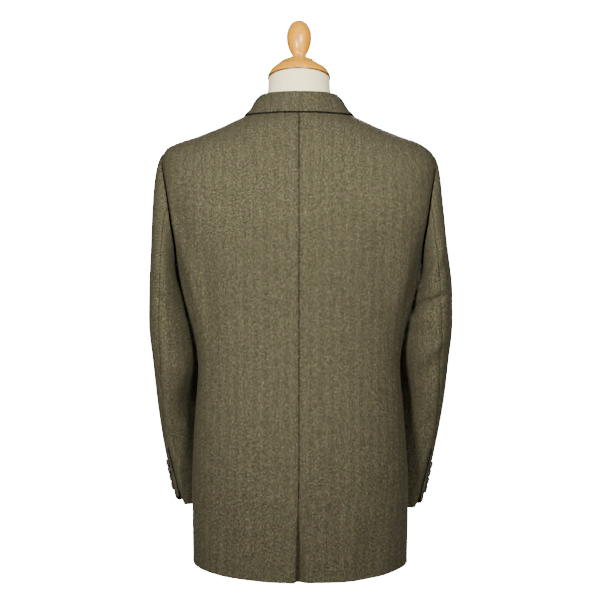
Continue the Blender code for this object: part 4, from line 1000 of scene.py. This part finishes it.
for side in ("L", "R"):
    rows = np.concatenate([CUFF_ROW * spaced(170, 0.60), CUFF_VENT_ROW + np.linspace(-0.03, 0.30, 18)])
    rows = np.unique(np.round(rows, 5))
    level = int(np.argmin(np.abs(rows - SLEEVE_LEVEL_ROW)))
    rear = lap_edge(rows, side) + SLEEVE_SEAM_LAP
    angles, grid_rows = between(rows, rear, FOREARM_SEAM - SLEEVE_SEAM_LAP, 66, 0.22)
    from_edge = rear[:, None] - angles
    corner = np.clip(1.0 - from_edge / CUFF_CORNER_DEGREES, 0.0, 1.0)
    cut = CUFF_CORNER * (1.0 - np.sqrt(1.0 - corner ** 2)) + CUFF_SLOPE * ramp(angles, CUFF_SLOPE_ANGLES)
    lift = CUFF_LIFT * smooth(1.0 - from_edge / CUFF_LIFT_DEGREES) * ramp(grid_rows, CUFF_LIFT_ROWS)
    grid_rows = grid_rows - cut * ramp(grid_rows, CUFF_CUT_ROWS)
    top_sleeve = add_cloth("top_sleeve_" + side + "_cloth", on_sleeve(angles, grid_rows, lift, side),
                           ("seam", "seam", "seam", "hem"), side == "R", level=level)
    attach(top_sleeve, "root")
    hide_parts("top_sleeve_" + side)

    lapped = ramp(rows - CUFF_VENT_ROW, CUFF_UNDERLAP_ROWS)
    rear = hindarm_seam(rows) - SLEEVE_SEAM_LAP - CUFF_UNDERLAP_DEGREES * lapped
    angles, grid_rows = between(rows, rear, 360.0 + FOREARM_SEAM + SLEEVE_SEAM_LAP, 44, 0.15)
    past_lap = angles - lap_edge(grid_rows, side)
    sink = -PLY * smooth((grid_rows - CUFF_VENT_ROW) / CUFF_SINK_ROWS)
    sink = sink * (1.0 - ramp(past_lap, CUFF_SINK_ANGLES))
    cut = CUFF_UNDERLAP_CUT * (1.0 - ramp(past_lap, CUFF_UNDERLAP_CUT_ANGLES))
    grid_rows = grid_rows - cut * ramp(grid_rows, CUFF_CUT_ROWS)
    under_sleeve = add_cloth("under_sleeve_" + side + "_cloth", on_sleeve(angles, grid_rows, sink, side),
                             ("seam", "seam", "seam", "hem"), side == "R", level=level)
    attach(under_sleeve, "root")
    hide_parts("under_sleeve_" + side)

    # Painted shade: a thick near-black cord along the edge of the lap over each cuff vent, for the shaded strip
    # there.
    lap_rows = np.linspace(*VENT_SHADE_ROWS, 240)
    lap_line = lap_edge(lap_rows, side) + VENT_SHADE_DEGREES
    folds = fold_height(SLEEVE_FOLDS, side, lap_line, lap_rows)
    lap_points = off_sleeve(lap_line, lap_rows, folds - VENT_SHADE_SINK, side)
    outward = off_sleeve(lap_line, lap_rows, folds + 1.0, side) - lap_points
    sew("cuff_vent_painted_shade_" + side, lap_points, outward, side == "R", **VENT_SHADE_CORD)

# ---------------------------------------------------------------- collar
# One piece of tweed from notch to notch: it stands up from the neck seam, turns over in a fold and falls
# on the backs and fronts. A row of stitches runs 6 mm inside its edge; a near-black cord just under the edge is
# painted shade, for the shadow below the collar.
def front_station(seam_row, fold_up, fold_in, fold_radius, edge_row, fall):
    """A station on the front, whose seam lies on the roll line and whose edge is fall further out."""
    seam_angle = float(front_angle_at(roll_x(seam_row), seam_row))
    edge_angle = float(front_angle_at(roll_x(edge_row) + fall, edge_row))
    return seam_angle, seam_row, fold_up, fold_in, fold_radius, edge_angle, edge_row


COLLAR = np.array([
    # seam angle, seam row, fold up, fold in, fold radius, edge angle, edge row
    (90.0, 14.00, 0.0215, -0.0010, 0.0042, 90.0, 13.50),
    (45.0, 14.00, 0.0220, 0.0050, 0.0042, 47.0, 13.53),
    (0.0, 14.00, 0.0220, 0.0100, 0.0042, 2.0, 13.70),
    (-30.0, 14.00, 0.0190, 0.0070, 0.0042, -26.0, 13.35),
    front_station(13.70, 0.0130, 0.0030, 0.0040, 12.90, 0.049),
    front_station(12.60, 0.0075, 0.0010, 0.0036, 11.90, 0.050),
    front_station(11.26, 0.0050, 0.0000, 0.0032, 10.88, 0.048),
])
COLLAR_SEAM_UP = 0.0009
COLLAR_SEAM_IN = 0.0002
COLLAR_CLEARANCE = 0.0004
COLLAR_BACK_CLEARANCE = 0.0018        # how much further it stands off at the back
COLLAR_BACK_ANGLES = (0.0, 50.0)
COLLAR_SHADE_SINK = 0.0016
COLLAR_SHADE_DROP = 0.0004
FALL_BULGE = 0.0012
FALL_CURL = 0.0011
CENTRE_CREASE = 0.0005


def collar_section(station):
    """Line across the collar's outer face: up the stand, round the fold and down the fall."""
    seam_angle, seam_row, fold_up, fold_in, radius, edge_angle, edge_row = along(COLLAR, station)
    seam_row = np.minimum(seam_row, NECK_ROW)
    up = np.array([0.0, 0.0, 1.0])
    seam = off_torso(seam_angle, seam_row, 0.0)
    level = unit((off_torso(seam_angle, seam_row, 1.0) - seam) * (1.0 - up))
    seam = seam + up * COLLAR_SEAM_UP - level * COLLAR_SEAM_IN
    fold = seam + up * fold_up - level * fold_in
    edge_out = PLY + COLLAR_CLEARANCE + COLLAR_BACK_CLEARANCE * ramp(seam_angle, COLLAR_BACK_ANGLES)
    edge = off_torso(edge_angle, edge_row, edge_out)
    to_edge, to_seam = unit(edge - fold), unit(seam - fold)
    sideways = unit(to_edge - to_seam)
    tip = -(to_edge + to_seam)
    tip = unit(tip - sideways * np.dot(tip, sideways))
    turn = np.radians(np.linspace(0.0, 180.0, 15))[:, None]
    bend = fold + radius * (np.sin(turn) * tip - np.cos(turn) * sideways)
    stand = seam + (bend[0] - seam) * spaced(6, 0.022)[:-1, None]
    share = spaced(30, 0.036)[1:, None]
    along_fall = unit(edge - bend[-1])
    outward = tip + sideways
    outward = unit(outward - along_fall * np.dot(outward, along_fall))
    curl = FALL_CURL * ramp(seam_angle, (70.0, 30.0)) * ramp(seam_angle, (-60.0, 0.0))
    fall = bend[-1] + (edge - bend[-1]) * share + FALL_BULGE * np.sin(np.pi * share) * tip
    fall = fall + curl * np.sin(2.0 * np.pi * share) * outward
    return np.concatenate([stand, bend, fall])


half = np.stack([collar_section(station) for station in (len(COLLAR) - 1) * spaced(76, 0.24)])
collar_grid = np.concatenate([half[:0:-1] * np.array([-1.0, 1.0, 1.0]), half])
collar_normal = unit(np.cross(np.gradient(collar_grid, axis=0), np.gradient(collar_grid, axis=1)))


def collar_face(out):
    """The grid moved out along its normals, with a fine crease pressed at the centre back."""
    crease = CENTRE_CREASE * np.exp(-(collar_grid[..., 0] / 0.0010) ** 2)
    return collar_grid + collar_normal * (out - crease)[..., None]


# Painted shade: a near-black cord sunk and dropped just under the collar's edge, for the shadow the edge casts.
under_edge = collar_grid[:, -1] - collar_normal[:, -1] * COLLAR_SHADE_SINK
under_edge = under_edge - np.array([0.0, 0.0, COLLAR_SHADE_DROP])
sew("collar_edge_painted_shade", under_edge, collar_normal[:, -1], **EDGE_SHADE_CORD)
collar = add_cloth("collar_cloth", collar_face, ("seam", "free", "free", "free"), turn_grain=math.pi / 2,
                   level=len(collar_grid) // 2)
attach(collar, "root")
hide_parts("collar")

# ---------------------------------------------------------------- buttons and buttonholes
# Dark horn buttons with a raised rim, a shallow dish and four holes, sewn through with olive thread: three
# down the left front and four on each cuff, each over a buttonhole worked in close stitches.
FRONT_BUTTON_ROWS = (3.02, 4.20, 5.32)
FRONT_BUTTON_GAPS = (0.0006, 0.0009, 0.0007)
FRONT_BUTTON_RADIUS = 0.0105
FRONT_HOLE_LENGTH = 0.025
FRONT_HOLE_START = 0.002
FRONT_ROW_LENGTH = 0.072
CUFF_BUTTON_RADIUS = 0.0072
CUFF_BUTTON_SINK = 0.0009
CUFF_BUTTON_PITCH = 0.0150
CUFF_BUTTON_FIRST_ROW = 5.66
CUFF_BUTTON_INSET_DEGREES = 7.0
CUFF_HOLE_LENGTH = 0.016
CUFF_HOLE_START_DEGREES = 2.0
CUFF_ROW_LENGTH = 0.104
CUFF_DEGREE_LENGTH = 0.00056
BUTTON_THICKNESS = 0.0034
BUTTON_DISH = 0.62
BUTTON_PROFILE = np.array([
    # shares of the radius and of the thickness, from the dish over the rim to the back
    (0.02, BUTTON_DISH), (0.30, BUTTON_DISH), (0.48, 0.64), (0.60, 0.74), (0.68, 0.90), (0.76, 0.99),
    (0.84, 1.00), (0.92, 0.94), (0.98, 0.78), (1.00, 0.58), (0.97, 0.38), (0.86, 0.16), (0.70, 0.03),
    (0.50, 0.0), (0.05, 0.0)])
BUTTON_RINGS = 64
BUTTON_FACE_RINGS = 28
THREAD_HOLE = 0.085                   # radius of a hole, as a share of the button's
THREAD_HOLE_OUT = 0.20
THREAD_HOLE_DEPTH = 0.0014
THREAD_RADIUS = 0.36                  # these two are shares of the hole's radius
THREAD_LANE = 0.416
THREAD_BAR_REACH = 1.02
THREAD_BAR_SINK = 0.0009
THREAD_BAR_RISE = 0.0014
HOLE_HALF_WIDTH = 0.0011
HOLE_CORD_RADIUS = 0.00062
HOLE_STITCHES = 168

horn, shader = new_material("horn", Roughness=0.42, Specular_IOR_Level=0.25, Coat_Weight=0.12)
horn_cloud = cloudy(horn, place_on(horn), 160.0, 4.0)
horn_cloud = tinted(horn, horn_cloud, (0.40, (0.012, 0.009, 0.007)), (0.66, (0.050, 0.039, 0.026)))
feed(horn, horn_cloud, shader.inputs["Base Color"])


def add_buttonhole(name, face, length, mirror):
    """A cord of close stitches round a slit: a closed loop whose thickness swells with every stitch."""
    turn = full_turn(HOLE_STITCHES)
    along_hole = length * (0.5 - 0.5 * np.clip(np.cos(turn) * 1.6, -1.0, 1.0))
    path = face(along_hole, HOLE_HALF_WIDTH * np.sin(turn), 0.0001)
    outward = unit(face(along_hole, HOLE_HALF_WIDTH * np.sin(turn), 0.0011) - path)
    ahead = unit(np.roll(path, -1, axis=0) - np.roll(path, 1, axis=0))
    sideways = unit(np.cross(outward, ahead))
    up = np.cross(ahead, sideways)
    around = full_turn(8)[:, None]
    swell = 1.0 + 0.22 * np.sin(np.arange(HOLE_STITCHES) * math.pi / 2.0)[:, None, None]
    cord = path[:, None] + HOLE_CORD_RADIUS * swell * (np.cos(around) * sideways[:, None]
                                                       + np.sin(around) * up[:, None])
    index = np.arange(HOLE_STITCHES * 8).reshape(HOLE_STITCHES, 8)
    after, beside = np.roll(index, -1, axis=0), np.roll(index, -1, axis=1)
    faces = np.stack([index, beside, np.roll(after, -1, axis=1), after], -1).reshape(-1, 4)
    if mirror[0] < 0.0:
        faces = faces[:, ::-1]
    item = add_mesh(name, cord * mirror, faces.tolist(), thread)
    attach(item, "root")


def add_button(node, position, normal, radius, steps):
    """A turned disc, pressed in at four places round its middle, with two bars of thread each way."""
    ring_radius, ring_height = along(BUTTON_PROFILE * np.array([radius, BUTTON_THICKNESS]),
                                     np.linspace(0.0, len(BUTTON_PROFILE) - 1.0, BUTTON_RINGS))
    disc = revolve(ring_radius, ring_height, steps)
    hole, hole_out = THREAD_HOLE * radius, THREAD_HOLE_OUT * radius
    for sign_x in (-1, 1):
        for sign_y in (-1, 1):
            away = np.hypot(disc[..., 0] - sign_x * hole_out, disc[..., 1] - sign_y * hole_out) / hole
            disc[:BUTTON_FACE_RINGS, :, 2] -= (THREAD_HOLE_DEPTH * np.exp(-away ** 4))[:BUTTON_FACE_RINGS]
    axes = np.array(Vector(normal).to_track_quat("Z", "Y").to_matrix()).T
    button = add_closed(node + "_horn", disc[::-1] @ axes + position, horn)
    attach(button, "root")
    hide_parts(node)
    run = np.linspace(-1.0, 1.0, 11)[:, None]
    height = BUTTON_DISH * BUTTON_THICKNESS - THREAD_BAR_SINK + THREAD_BAR_RISE * (1.0 - np.abs(run) ** 6)
    around, bar_radius = full_turn(8), THREAD_RADIUS * hole
    for index, (sign, lane) in enumerate(((-1, -1), (-1, 1), (1, -1), (1, 1))):
        bar_x = run * hole_out * THREAD_BAR_REACH
        bar_y = sign * hole_out + lane * THREAD_LANE * hole + bar_radius * np.cos(around)
        bar_z = height + bar_radius * np.sin(around)
        bar = np.stack(np.broadcast_arrays(bar_x, bar_y, bar_z), -1)
        sewn = add_closed(node + "_horn_thread_" + str(index + 1), bar @ axes + position, thread)
        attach(sewn, "root")


for index, (row, gap) in enumerate(zip(FRONT_BUTTON_ROWS, FRONT_BUTTON_GAPS)):
    position = off_torso(-90.0, row, gap)
    normal = unit(off_torso(-90.0, row, 1.0) - position)
    add_button("button_front_" + str(index + 1), position, normal, FRONT_BUTTON_RADIUS, 64)

    def front_face(along_hole, across_hole, out, row=row):
        """A place on the left front, by its lengths along and across the buttonhole."""
        rows = row + across_hole / FRONT_ROW_LENGTH
        angles = front_angle_at(along_hole - FRONT_HOLE_START, rows)
        return off_torso(angles, rows, out + fold_height(BODY_FOLDS, "L", angles, rows))

    add_buttonhole("buttonhole_front_" + str(index + 1), front_face, FRONT_HOLE_LENGTH, np.ones(3))
for side in ("L", "R"):
    mirror = np.array([1.0 if side == "L" else -1.0, 1.0, 1.0])
    for index in range(4):
        row = CUFF_BUTTON_FIRST_ROW - index * CUFF_BUTTON_PITCH / CUFF_ROW_LENGTH
        angle = hindarm_seam(row) - CUFF_BUTTON_INSET_DEGREES
        position = off_sleeve(angle, row, -CUFF_BUTTON_SINK, side)
        normal = unit((off_sleeve(angle, row, 1.0, side) - position) * mirror)
        number = side + "_" + str(index + 1)
        add_button("button_cuff_" + number, position * mirror, normal, CUFF_BUTTON_RADIUS, 48)

        def cuff_face(along_hole, across_hole, out, row=row, angle=angle, side=side):
            """A place on the cuff, by its lengths along and across the buttonhole."""
            rows = row + across_hole / CUFF_ROW_LENGTH
            angles = angle + CUFF_HOLE_START_DEGREES - along_hole / CUFF_DEGREE_LENGTH
            return off_sleeve(angles, rows, out + fold_height(SLEEVE_FOLDS, side, angles, rows), side)

        add_buttonhole("buttonhole_cuff_" + number, cuff_face, CUFF_HOLE_LENGTH, mirror)

size = {"cad_box": [list(corner) for corner in cad_box], "visual_box": [list(corner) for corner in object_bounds()]}
